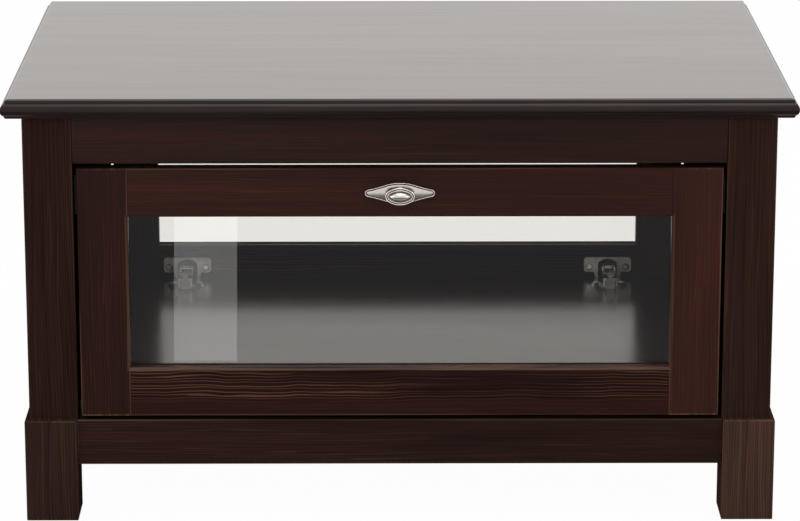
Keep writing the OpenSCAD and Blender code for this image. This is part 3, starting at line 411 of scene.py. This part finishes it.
def wood(name, axis, stain, origin, box, lines=0.15, pith=(0.05, -0.12), sway=0.004, spacing=0.0021,
         contrast=0.50, figure=0.18, bend=0.45, band=None, red_tint=0.35, rub=0.5, window=0.0, seam=0.0,
         rough=None, shine=WOOD_SHINE, coated=False):
    """Stained pine: growth rings, as a sine of the distance from a tilted pith line, and fibres over them.

    Noise shifts the rings' spacing and bends them slowly along the board. Patches hold back the pale lines.
    A band, two heights from the piece's middle, darkens the wood above it and keeps the pale lines there.
    Edges and the slope round the window are rubbed pale, the edges also with a painted highlight, and dirt
    lies at the seams of the ends.
    """
    settings = bpy.context.scene.table_wood
    paint = Paint(name)
    across, over, along = grain_axes(paint, axis, origin)
    drift = paint.noise(paint.join(across * 0.7, over * 0.7, along * bend), 7.0, 2.0, 0.5) - 0.5
    side = across - pith[0] + drift * sway * 2.0 + along * PITH_TILT
    depth = over - pith[1] + drift * sway
    ring = (side * side + depth * depth).math("SQRT")
    uneven = paint.noise(paint.join(ring, along * 0.02, 0.0), 170.0, 2.0, 0.6) - 0.5
    wave = ((ring + uneven * 0.008) * (2 * math.pi / spacing)).math("SINE") * 0.5 + 0.5
    patches, fibres, tone, hue = [
        paint.noise(paint.join(across, over, along * share), scale, detail, roughness)
        for share, scale, detail, roughness in (PATCHES, FIBRES, TONES, HUES)]
    level = (tone - 0.5) * 0.8 + (fibres - 0.5) * 1.1 + (wave - 0.5) * figure
    base = paint.mix((level * contrast + 0.40).clamp(), shade(stain, 0.35), shade(stain, 2.0))
    redder = (stain[0] * 1.9, stain[1], stain[2] * 1.3, 1.0)
    base = paint.mix(hue.step(0.50, 0.75) * red_tint, base, redder)
    late = wave.step(0.66, 1.0) * patches.step(0.36, 0.62)
    if band:
        upper = (over + drift * 0.012).step(*band)
        base = paint.mix(upper * 0.55, base, shade(stain, 0.28))
        late = late * upper
    base = paint.mix(late * lines, base, colour(settings.streak))
    # Rubbed edges: partly real wear, partly a painted highlight where eased edges catch light
    rubbed = edge_rub(paint, box, patches * 0.5 + fibres * 0.5) * rub
    if window:
        rubbed = rubbed.math("MAXIMUM", window_rub(paint, patches * 0.35 + fibres * 0.65) * window)
    base = paint.mix(rubbed, base, colour(settings.bare_and_glint))
    if seam:
        length = max(end - start for start, end in zip(*box))
        dirt = along.math("ABSOLUTE").step(length / 2 - SEAM_DIRT[0], length / 2 - SEAM_DIRT[1])
        base = paint.mix(dirt * seam, base, shade(stain, 0.08))
    gloss = settings.gloss if rough is None else rough
    height = fibres * 0.45 + wave * 0.25 + tone * 0.3
    finish = {
        "base_color": base,
        "roughness": fibres * 0.14 + tone * 0.10 + (gloss - 0.11),
        "specular_ior_level": shine,
        "normal": paint.bump(height, 0.20, 0.0004),
    }
    if coated:
        finish.update(top_coat(paint))
    return paint.surface(**finish)


def top_coat(paint):
    """Full varnish on the flat of the top, none on its moulded edge."""
    flat = paint.split(paint.place())[2].step(*COAT_EDGE)
    return {"coat_weight": flat * 0.92, "coat_roughness": 0.22, "coat_ior": 1.5,
            "coat_tint": (1.0, 0.93, 0.88, 1.0)}


def dress_wood(name, axis, stain, **more):
    """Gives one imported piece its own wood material, with the rings placed from the piece's middle."""
    low, high = plain_numbers(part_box(name))
    middle = [(a + b) / 2 for a, b in zip(low, high)]
    set_material(name, wood("wood_" + name, axis, stain, middle, (low, high), **more))


# New surfaces


def ring_mesh(name, points, polish):
    """Mesh of quads over a grid of points, each row of which closes into a ring.

    Each row's polish, 0 for patina and 1 for rubbed bright, goes with its points as an attribute.
    """
    rows, columns = points.shape[:2]
    index = np.arange(rows * columns).reshape(rows, columns)
    index = np.concatenate([index, index[:, :1]], axis=1)
    corners = [index[:-1, :-1], index[:-1, 1:], index[1:, 1:], index[1:, :-1]]
    faces = np.stack(corners, axis=-1).reshape(-1, 4)
    mesh = bpy.data.meshes.new(name)
    mesh.from_pydata(points.reshape(-1, 3).tolist(), [], faces.tolist())
    shine = mesh.attributes.new("polish", "FLOAT", "POINT")
    shine.data.foreach_set("value", np.repeat(np.asarray(polish, dtype=np.float32), columns))
    return mesh


def finish_piece(name, mesh, material, body, replaced):
    """Makes a piece of a mesh: merges its doubles, turns its faces outwards and rides it on its body."""
    edit = bmesh.new()
    edit.from_mesh(mesh)
    bmesh.ops.remove_doubles(edit, verts=edit.verts, dist=1e-7)
    bmesh.ops.dissolve_degenerate(edit, edges=edit.edges, dist=1e-8)
    bmesh.ops.recalc_face_normals(edit, faces=edit.faces)
    edit.to_mesh(mesh)
    edit.free()
    mesh.polygons.foreach_set("use_smooth", np.ones(len(mesh.polygons), dtype=bool))
    mesh.materials.append(material)
    piece = bpy.data.objects.new(name, mesh)
    bpy.context.scene.collection.objects.link(piece)
    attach(piece, body)
    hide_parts(*replaced)


def arc_points(centre, radius, start, end, count):
    """Points on a circle's arc between two angles, without the last one."""
    angles = np.linspace(start, end, count, endpoint=False)
    return np.stack([centre[0] + radius * np.cos(angles), centre[1] + radius * np.sin(angles)], axis=1)


def quarter_to_loop(quarter):
    """Closes a first-quarter outline, from the right to the top, into a full loop by mirroring."""
    mirrored = quarter[::-1] * (-1, 1)
    upper = np.concatenate([quarter, mirrored[1:] if quarter[-1][0] == 0 else mirrored])
    lower = upper[::-1][1:-1] * (1, -1)
    return np.concatenate([upper, lower])


def plate_loop(inset, count=28):
    """Outline of the backplate at an inset: tip, hollow and belly arcs, each tangent to the next."""
    belly_y = PLATE_H / 2 - PLATE_BELLY
    tip_x = PLATE_L / 2 - PLATE_TIP
    span = math.hypot(tip_x, belly_y)
    to_belly = PLATE_BELLY + PLATE_HOLLOW
    to_tip = PLATE_TIP + PLATE_HOLLOW
    along = (to_belly ** 2 - to_tip ** 2 + span ** 2) / (2 * span)
    off = math.sqrt(to_belly ** 2 - along ** 2)
    turn = math.atan2(-belly_y, tip_x)
    hollow = (along * math.cos(turn) - off * math.sin(turn),
              belly_y + along * math.sin(turn) + off * math.cos(turn))
    tip_end = math.atan2(hollow[1], hollow[0] - tip_x)
    belly_start = math.atan2(hollow[1] - belly_y, hollow[0])
    quarter = np.concatenate([
        arc_points((tip_x, 0.0), PLATE_TIP - inset, 0.0, tip_end, count),
        arc_points(hollow, PLATE_HOLLOW + inset, tip_end - math.pi, belly_start - math.pi, count),
        arc_points((0.0, belly_y), PLATE_BELLY - inset, belly_start, math.pi / 2, count),
        [[0.0, belly_y + PLATE_BELLY - inset]],
    ])
    return quarter_to_loop(quarter)


def oval_loop(inset, count=28):
    """Outline of the knob at an inset: end arc and long arc, tangent to each other."""
    end_x = KNOB_L / 2 - KNOB_END
    long_r = (end_x ** 2 + KNOB_H ** 2 / 4 - KNOB_END ** 2) / (KNOB_H - 2 * KNOB_END)
    centre_y = KNOB_H / 2 - long_r
    switch = math.atan2(-centre_y, end_x)
    quarter = np.concatenate([
        arc_points((end_x, 0.0), KNOB_END - inset, 0.0, switch, count),
        arc_points((0.0, centre_y), long_r - inset, switch, math.pi / 2, count),
        [[0.0, centre_y + long_r - inset]],
    ])
    return quarter_to_loop(quarter)


def soft_profile(stations, steps=4, share=0.42):
    """Rounds the corners of a stepped profile of (inset, height) pairs.

    Each corner becomes a quadratic curve that takes up a share of the shorter side next to it.
    """
    stations = np.array(stations, dtype=float)
    made = [stations[0]]
    for before, corner, after in zip(stations[:-2], stations[1:-1], stations[2:]):
        reach = share * min(np.linalg.norm(corner - before), np.linalg.norm(after - corner))
        first = corner + (before - corner) / np.linalg.norm(before - corner) * reach
        last = corner + (after - corner) / np.linalg.norm(after - corner) * reach
        for t in np.linspace(0, 1, steps + 1):
            made.append((1 - t) ** 2 * first + 2 * t * (1 - t) * corner + t ** 2 * last)
    made.append(stations[-1])
    return np.array(made)


def rings(loop, profile):
    """Carries a profile of insets and heights round an outline, one ring of points for each pair."""
    made = []
    for inset, height in profile:
        outline = loop(inset)
        made.append(np.column_stack([outline[:, 0], np.full(len(outline), height), outline[:, 1]]))
    return np.array(made)


def to_flap(points, side):
    """Stands handle points, drawn outward along +Y from the flap's face, on the flap of one side."""
    x, y, z = np.moveaxis(points, -1, 0)
    return np.stack([x * -side, side * (FACE_Y + y), z + HANDLE_Z], axis=-1)


def pillow(points):
    """Lifts field points onto the cushion, two crossed arcs: tight over the height, flat lengthwise.

    From the middle it falls by z squared over twice one radius and x squared over twice the other.
    """
    drop = points[..., 2] ** 2 / (2 * PILLOW_R) + points[..., 0] ** 2 / (2 * PILLOW_LONG_R)
    lifted = points.copy()
    lifted[..., 1] = PLATE_T + PLATE_RISE - drop
    return lifted


def backplate_points():
    """Backplate: border and groove swept as one profile round the outline, then the cushioned field."""
    low = PLATE_T - PLATE_RIM
    crest = PLATE_T + 0.0001
    field = PLATE_BORDER + PLATE_GROOVE
    profile = soft_profile([
        (BEVEL, 0.0), (0.0, 0.0002), (0.0, low), (BEVEL, crest), (PLATE_BORDER - BEVEL, crest),
        (PLATE_BORDER, low), (field - FILLET, low), (field, low + FILLET)])
    outer = rings(plate_loop, profile)
    start = rings(plate_loop, [(field, 0.0)])[0]
    inner = np.array([pillow(start * (share, 0, share)) for share in FIELD_SHARES])
    back = np.array([outer[0] * (share, 0, share) for share in (0.0, 0.5)])
    raised = (profile[:, 1] > PLATE_T - BEVEL) & (profile[:, 0] < PLATE_BORDER)
    polish = np.concatenate([np.zeros(len(back)), raised.astype(float), np.zeros(len(inner))])
    return np.concatenate([back, outer, inner]), polish


def knob_points():
    """Knob: round collar and neck, then a head swept round the oval as one profile, then an almond boss.

    The head has a flared back, rim, groove and bead. The boss is the almond shrunk to shares t, each of
    them at 1 - 0.45 t^1.25 - 0.55 t^3.2 of its rise.
    """
    back = KNOB_OUT - KNOB_T
    rim = KNOB_OUT - KNOB_EDGE
    crown = rim + 0.0002
    deep = KNOB_OUT - KNOB_DEEP
    foot = deep + FILLET
    bead = KNOB_RIM + KNOB_GROOVE
    bead_top = KNOB_OUT - 0.0001
    angle_loop = oval_loop(0.0)
    angles = np.arctan2(angle_loop[:, 1], angle_loop[:, 0])
    circle = np.column_stack([np.cos(angles), np.zeros(len(angles)), np.sin(angles)])
    seat = PLATE_T - PLATE_RIM
    neck = np.array([circle * (r, 0, r) + (0, h, 0) for r, h in (
        (0.0, seat), (COLLAR_R, seat), (COLLAR_R, seat + 0.0010), (COLLAR_R - FILLET, seat + 0.0014),
        (NECK_R + BEVEL, seat + 0.0016), (NECK_R, seat + 0.0026), (NECK_R, back - 0.0024),
        (NECK_R + 0.0006, back - 0.0008))])
    profile = soft_profile([
        (0.0034, back + 0.0002), (0.0012, back + 0.0010), (0.0, back + 0.0028), (0.0, rim - KNOB_EDGE),
        (KNOB_EDGE * 0.7, crown), (KNOB_RIM - FILLET, crown), (KNOB_RIM + 0.0002, deep),
        (bead - 0.0002, deep), (bead + 0.0001, bead_top), (bead + KNOB_GROOVE - 0.0001, bead_top),
        (bead + KNOB_GROOVE + 0.0002, foot)])
    head = rings(oval_loop, profile)
    almond = almond_ring(angles)
    blend = np.array([head[-1] * (1 - t) + (almond + (0, foot, 0)) * t for t in BLEND_SHARES])
    rise = KNOB_OUT + ALMOND_OUT - foot
    dome = np.array([almond * (t, 0, t) + (0, foot + rise * (1 - 0.45 * t ** 1.25 - 0.55 * t ** 3.2), 0)
                     for t in DOME_SHARES])
    raised = profile[:, 1] > KNOB_OUT - KNOB_EDGE - 0.0005
    polish = np.concatenate([np.zeros(len(neck)), raised.astype(float), np.zeros(len(blend)),
                             np.full(len(dome), ALMOND_POLISH)])
    return np.concatenate([neck, head, blend, dome]), polish


def almond_ring(angles):
    """Almond outline where two long arcs meet in points, sampled at the oval's angles.

    x is half the length times the cosine to the power 0.92, and z is the arc's height over its chord.
    """
    half_l = ALMOND_L / 2
    half_h = ALMOND_H / 2
    radius = (half_l ** 2 + half_h ** 2) / (2 * half_h)
    x = half_l * np.sign(np.cos(angles)) * np.abs(np.cos(angles)) ** 0.92
    z = np.sqrt(np.maximum(radius ** 2 - x ** 2, 0)) - (radius - half_h)
    return np.column_stack([x, np.zeros(len(x)), np.sign(np.sin(angles)) * np.maximum(z, 0)])


# Metal, glass and plastic


def aged_nickel():
    """Nickel, bright where its polish attribute is 1 and dull elsewhere, with painted shade darkening it
    low down.

    Brown grime lies below the raised rims, told by the distance from the flap, with fine specks over all.
    """
    settings = bpy.context.scene.table_metal
    paint = Paint("aged_nickel")
    place = paint.place()
    y, z = paint.split(place)[1:]
    out = y.math("ABSOLUTE") - FACE_Y
    spots = paint.noise(place, 900.0, 3.0, 0.6)
    cloud = paint.noise(place, 160.0, 2.0, 0.5)
    on_knob = out.step(PLATE_T + PLATE_RISE + 0.0002, PLATE_T + PLATE_RISE + 0.0009)
    plate_low = 1.0 - out.step(PLATE_T - PLATE_RIM + 0.0001, PLATE_T - 0.0002)
    deep = KNOB_OUT - KNOB_DEEP
    fill = out.step(deep - 0.0012, deep - 0.0002) * 0.5 + 0.5
    knob_low = (1.0 - out.step(deep + 0.0003, deep + 0.0007)) * fill
    grime = plate_low * (1.0 - on_knob) + knob_low * on_knob
    polish = paint.node("ShaderNodeAttribute", {"attribute_name": "polish"}, output=2)
    # Painted shade: the nickel darkens towards the bottom of the handle
    lower = (HANDLE_Z + 0.002 - z).step(0.0, 0.010)
    patina = paint.mix(lower * 0.6, shade(settings.nickel, 0.66), shade(settings.nickel, 0.30))
    base = paint.mix(polish, patina, colour(settings.nickel))
    base = paint.mix(grime * (cloud.step(0.25, 0.6) * 0.2 + 0.75), base, colour(settings.grime))
    base = paint.mix(spots.step(0.55, 0.8) * 0.20, base, colour(settings.grime))
    return paint.surface(base_color=base, metallic=1.0, roughness=(spots * 0.14 + cloud * 0.08 + 0.07),
                         normal=paint.bump(spots, 0.10, 0.0001))


def steel(name, tone, rough, shade_beyond_y=None, top_shade=0.0):
    """Plated sheet steel with fine drawn lines and soft blotches.

    Painted shade darkens the dimples round the flange screws and all that lies further from the plane y = 0
    than the given distance. More painted shade darkens upward faces.
    """
    paint = Paint(name)
    place = paint.place()
    x, y, z = paint.split(place)
    drawn = paint.noise(paint.join(x * 14.0, y, z * 6.0), 420.0, 2.0, 0.6)
    blotch = paint.noise(place, 90.0, 3.0, 0.6)
    base = paint.mix(blotch.step(0.3, 0.75) * 0.45, colour(tone), shade(tone, 0.62))
    # Painted shade in the dimples round the flange screws and deep inside the cups
    if shade_beyond_y:
        beside = (x.math("ABSOLUTE") - HINGE_X).math("ABSOLUTE") - FLANGE_SCREW
        from_screw = (beside * beside + (z - FLANGE_Z) * (z - FLANGE_Z)).math("SQRT")
        dimple_shade = from_screw.step(*DIMPLE_SHADE_INNER) * (1.0 - from_screw.step(*DIMPLE_SHADE_OUTER))
        base = paint.mix(dimple_shade * 0.8, base, shade(tone, 0.08))
        cup_shade = y.math("ABSOLUTE").step(shade_beyond_y, shade_beyond_y + 0.0006)
        base = paint.mix(cup_shade * 0.96, base, shade(tone, 0.05))
    # Painted shade on faces that look upward
    if top_shade:
        upward = paint.split(paint.node("ShaderNodeNewGeometry", output=1))[2]
        base = paint.mix(upward.step(0.55, 0.90) * top_shade, base, shade(tone, 0.10))
    return paint.surface(base_color=base, metallic=1.0, roughness=(drawn * 0.16 + blotch * 0.14 + rough),
                         normal=paint.bump(drawn, 0.10, 0.0001))


def glass():
    """Clear pane with faint smears, whose faces mirror a share of 0.04 + 0.96 (1 - cosine)^5."""
    paint = Paint("pane_glass")
    smear = paint.noise(paint.place(), 14.0, 3.0, 0.6)
    clear = paint.node("ShaderNodeBsdfTransparent", None, {"Color": colour(GLASS_TINT)})
    shine = paint.node("ShaderNodeBsdfGlossy", None, {
        "Color": WHITE, "Roughness": smear.step(0.5, 0.9) * 0.03 + 0.004})
    facing = paint.node("ShaderNodeLayerWeight", None, {"Blend": 0.5}, output=1)
    mirror = facing.math("POWER", 5.0) * (1.0 - GLASS_MIRROR) + GLASS_MIRROR
    return paint.show(paint.node("ShaderNodeMixShader", None, {0: mirror, 1: clear, 2: shine}))


def plain(name, tone, rough, metallic=0.0, grain=260.0):
    """Moulded or cast surface with fine grain and slight unevenness."""
    paint = Paint(name)
    place = paint.place()
    fine = paint.noise(place, grain, 3.0, 0.6)
    broad = paint.noise(place, grain * 0.1, 2.0, 0.5)
    base = paint.mix(broad.step(0.3, 0.7) * 0.5, colour(tone), shade(tone, 0.65))
    return paint.surface(base_color=base, metallic=metallic, roughness=(fine * 0.16 + rough),
                         normal=paint.bump(fine, 0.15, 0.0002))


# Operators


class TABLE_OT_frame_wood(bpy.types.Operator):
    """Stains the top, posts, feet, aprons, rails, panels, shelf and battens"""

    bl_idname = "table.frame_wood"
    bl_label = "Frame wood"

    def execute(self, context):
        stains = context.scene.table_wood
        dark = stains.dark
        lower = shade(dark, 0.92)
        dress_wood("table_top", "X", shade(dark, 0.5), lines=0.04, pith=(0.10, -0.30), sway=0.010,
                   contrast=0.6, rub=0.0, rough=0.30, shine=TOP_SHINE, coated=True)
        for end in FLAPS:
            for side, pale, thin in (("left", 1.0, 1.08), ("right", 1.18, 2.0)):
                dress_wood("post_%s_%s" % (end, side), "Z", shade(stains.post, pale), lines=0.10,
                           pith=(0.12, 0.05), red_tint=0.15, rub=0.3, shine=0.0)
                dress_wood("foot_%s_%s" % (end, side), "Z", shade(stains.foot, thin), lines=0.12 * thin,
                           pith=(0.10, 0.06), contrast=0.34 + 0.14 * thin, figure=0.02 + 0.14 * thin,
                           rub=0.25 * thin, shine=0.0)
            for name in ("top_batten_", "shelf_batten_"):
                dress_wood(name + end, "X", dark, lines=0.1, rub=0.2)
        for end, axis in (("front", "X"), ("back", "X"), ("left", "Y"), ("right", "Y")):
            dress_wood("apron_" + end, axis, dark, lines=0.06, pith=(0.03, 0.12), rub=0.2, seam=0.9)
            dress_wood("rail_" + end, axis, lower, lines=0.16, pith=(0.02, 0.14), rub=0.5, seam=0.7)
        for side in ("left", "right"):
            dress_wood("side_panel_" + side, "Z", dark, lines=0.08, pith=(0.07, 0.04), spacing=0.0036,
                       rub=0.0, rough=0.40)
        dress_wood("shelf", "X", dark, lines=0.02, pith=(0.10, -0.30), rub=0.1, rough=0.19,
                   shine=SHELF_SHINE)
        dress_wood("frame_dowels", "X", DOWEL_BEECH, lines=0.2, rub=0.0)
        return {"FINISHED"}


class TABLE_OT_flap_wood(bpy.types.Operator):
    """Stains the stiles, cross rails and beads of both flaps"""

    bl_idname = "table.flap_wood"
    bl_label = "Flap wood"

    def execute(self, context):
        red = context.scene.table_wood.red
        for end, shine in (("front", WOOD_SHINE), ("back", 0.0)):
            for side, deep in (("left", 0.72), ("right", 1.25)):
                dress_wood("%s_stile_%s" % (end, side), "Z", shade(red, deep), lines=0.12,
                           pith=(0.10, 0.04), rub=0.65, window=0.45)
            dress_wood(end + "_cross_rail_top", "X", red, lines=0.10, pith=(0.04, 0.10), rub=0.6,
                       window=0.1)
            dress_wood(end + "_cross_rail_low", "X", shade(red, 0.88), lines=0.62, pith=(0.02, -0.13),
                       sway=0.018, spacing=0.0036, contrast=0.55, figure=0.35, bend=1.5,
                       band=(-0.013, -0.005), rub=0.45, window=0.6, shine=shine)
            dress_wood(end + "_beads", "X", red, lines=0.1, rub=0.6)
        return {"FINISHED"}


class TABLE_OT_handles(bpy.types.Operator):
    """Builds the backplate and the oval knob of each flap"""

    bl_idname = "table.handles"
    bl_label = "Handles"

    def execute(self, context):
        nickel = aged_nickel()
        for end, side in FLAPS.items():
            for kind, (points, polish) in (("backplate", backplate_points()), ("knob", knob_points())):
                name = "%s_%s_face" % (end, kind)
                mesh = ring_mesh(name, to_flap(points, side), polish)
                finish_piece(name, mesh, nickel, end + "_flap", ["%s_%s" % (end, kind)])
        return {"FINISHED"}


class TABLE_OT_fittings(bpy.types.Operator):
    """Plates the hinges, screws, catches and strikes"""

    bl_idname = "table.fittings"
    bl_label = "Fittings"

    def execute(self, context):
        tone = context.scene.table_metal.steel
        screw = steel("screw_steel", shade(tone, 1.3), 0.0)
        for name in ("batten_screws", "arm_screws", "fitting_screws"):
            set_material(name, screw)
        plate = steel("hinge_sheet_steel", tone, 0.20)
        # Cups with painted shade inside them and round their screws
        cup = steel("hinge_cup_steel", shade(tone, 1.2), 0.20, FLAP_IN_Y + 0.0004)
        link = steel("link_steel", shade(tone, 1.2), -0.06)
        for end in FLAPS:
            for kind, metal in (("knob_screw", screw), ("flap_screws", screw), ("strikes", plate),
                                ("cups", cup), ("short_links", link), ("long_links", link)):
                set_material("%s_%s" % (end, kind), metal)
        set_material("hinge_plates", plate)
        # Arms with painted shade on their upward faces
        set_material("hinge_arms", steel("hinge_arm_steel", shade(tone, 1.3), -0.06, top_shade=0.9))
        set_material("catch_cases", plain("catch_plastic", CATCH_BLACK, 0.42))
        set_material("catch_magnets", plain("magnet_ferrite", MAGNET_GREY, 0.45, 0.3, 600.0))
        return {"FINISHED"}


class TABLE_OT_panes(bpy.types.Operator):
    """Glazes both flaps"""

    bl_idname = "table.panes"
    bl_label = "Panes"

    def execute(self, context):
        pane = glass()
        for end in FLAPS:
            set_material(end + "_glass", pane)
        return {"FINISHED"}


# Studio


def lamp(name, place, target, size, power):
    """Soft rectangular lamp that faces a point and that the camera doesn't see."""
    light = bpy.data.lights.new(name, "AREA")
    light.shape = "RECTANGLE"
    light.size, light.size_y = size
    light.energy = power
    made = bpy.data.objects.new(name, light)
    bpy.context.scene.collection.objects.link(made)
    made.location = place
    made.visible_camera = False
    heading = np.array(target, dtype=float) - np.array(place, dtype=float)
    made.rotation_euler = (math.acos(-heading[2] / np.linalg.norm(heading)), 0.0,
                           math.atan2(heading[1], heading[0]) - math.pi / 2)


def sheet(name, far_x, near_x, y, z, material):
    """Level sheet on the stage with four straight sides: it spans far_x at y[0] and near_x at y[1]."""
    mesh = bpy.data.meshes.new(name)
    corners = [(far_x[0], y[0], z), (far_x[1], y[0], z), (near_x[1], y[1], z), (near_x[0], y[1], z)]
    mesh.from_pydata(corners, [], [(0, 1, 2, 3)])
    mesh.materials.append(material)
    made = bpy.data.objects.new(name, mesh)
    bpy.context.scene.collection.objects.link(made)
    return made


def card(name, far_x, near_x, y, z, strength):
    """Glowing card that only shows in reflections."""
    paint = Paint(name)
    made = sheet(name, far_x, near_x, y, z, paint.show(paint.glow(strength)))
    made.visible_camera = False
    made.visible_diffuse = False
    made.visible_transmission = False
    made.visible_shadow = False


def seen_directly(paint):
    """1 for rays from the camera, from a mirror and through glass, 0 for light that falls on things."""
    outputs = paint.node("ShaderNodeLightPath").socket.node.outputs
    names = ("Is Camera Ray", "Is Glossy Ray", "Is Transmission Ray")
    camera, mirror, pane = [Wire(paint, outputs[name]) for name in names]
    return camera.math("MAXIMUM", mirror).math("MAXIMUM", pane)


class TABLE_OT_stage(bpy.types.Operator):
    """Lays the pale floor and sets the soft lamps, the room light and the camera"""

    bl_idname = "table.stage"
    bl_label = "Stage"

    def execute(self, context):
        scene = context.scene
        settings = scene.table_stage
        self.floor(settings)
        self.room(scene, settings)
        for name, values in LAMPS.items():
            lamp(name, *values)
        # Cards that only show in reflections: a painted bright band and a painted dark reflection
        card("bright_strip", STRIP_FAR_X, STRIP_NEAR_X, STRIP_Y, STRIP_Z, STRIP_GLOW)
        card("dark_reflection_card", DARK_CARD_X, DARK_CARD_X, DARK_CARD_Y, DARK_CARD_Z, DARK_CARD_GLOW)
        self.camera(scene, settings)
        scene.view_settings.view_transform = "Standard"
        return {"FINISHED"}

    def floor(self, settings):
        """Lays a floor that is nearly white where it is seen, and takes faint shadows."""
        paint = Paint("floor_paint")
        matt = paint.node("ShaderNodeBsdfDiffuse", None, {"Color": colour(settings.floor)})
        mixed = paint.node("ShaderNodeMixShader", None, {
            0: seen_directly(paint) * FLOOR_GLOW, 1: matt, 2: paint.glow(1.0)})
        span = (-FLOOR_HALF, FLOOR_HALF)
        sheet("floor", span, span, span, 0.0, paint.show(mixed))

    def room(self, scene, settings):
        """Fills the room with even light, white where it is seen."""
        paint = Paint("room", room=True)
        lit, seen = [paint.node("ShaderNodeBackground", None, {"Color": WHITE, "Strength": strength})
                     for strength in (settings.sky, 1.0)]
        paint.show(paint.node("ShaderNodeMixShader", None, {0: seen_directly(paint), 1: lit, 2: seen}))
        scene.world = paint.owner

    def camera(self, scene, settings):
        """Places the camera, with no lens shift."""
        data = bpy.data.cameras.new("eye")
        data.sensor_width = SENSOR_WIDTH
        data.lens = settings.lens
        data.clip_start = CLIP_START
        eye = bpy.data.objects.new("eye", data)
        bpy.context.scene.collection.objects.link(eye)
        eye.location = CAMERA_PLACE
        eye.rotation_euler = (math.pi / 2 - settings.pitch, 0.0, -settings.yaw)
        scene.camera = eye


# Panel, registration and the run


class TABLE_PT_panel(bpy.types.Panel):
    """Lists the settings and the steps that dress the table"""

    bl_idname = "TABLE_PT_panel"
    bl_label = "Glazed Cabinet Table"
    bl_space_type = "VIEW_3D"
    bl_region_type = "UI"
    bl_category = "Table"

    def draw(self, context):
        layout = self.layout
        for operator in STEPS:
            layout.operator(operator.bl_idname)
        for settings in (context.scene.table_wood, context.scene.table_metal, context.scene.table_stage):
            column = layout.column()
            for name in settings.bl_rna.properties.keys():
                if name not in ("rna_type", "name"):
                    column.prop(settings, name)


STEPS = (TABLE_OT_frame_wood, TABLE_OT_flap_wood, TABLE_OT_handles, TABLE_OT_fittings, TABLE_OT_panes,
         TABLE_OT_stage)
GROUPS = {"table_wood": TableWood, "table_metal": TableMetal, "table_stage": TableStage}


def register():
    for group in GROUPS.values():
        bpy.utils.register_class(group)
    for name, group in GROUPS.items():
        setattr(bpy.types.Scene, name, bpy.props.PointerProperty(type=group))
    for step in STEPS + (TABLE_PT_panel,):
        bpy.utils.register_class(step)


def unregister():
    for step in reversed(STEPS + (TABLE_PT_panel,)):
        bpy.utils.unregister_class(step)
    for name in GROUPS:
        delattr(bpy.types.Scene, name)
    for group in GROUPS.values():
        bpy.utils.unregister_class(group)


def main():
    register()
    bpy.ops.table.frame_wood()
    bpy.ops.table.flap_wood()
    bpy.ops.table.handles()
    bpy.ops.table.fittings()
    bpy.ops.table.panes()
    bpy.ops.table.stage()


if __name__ == "__main__":
    main()
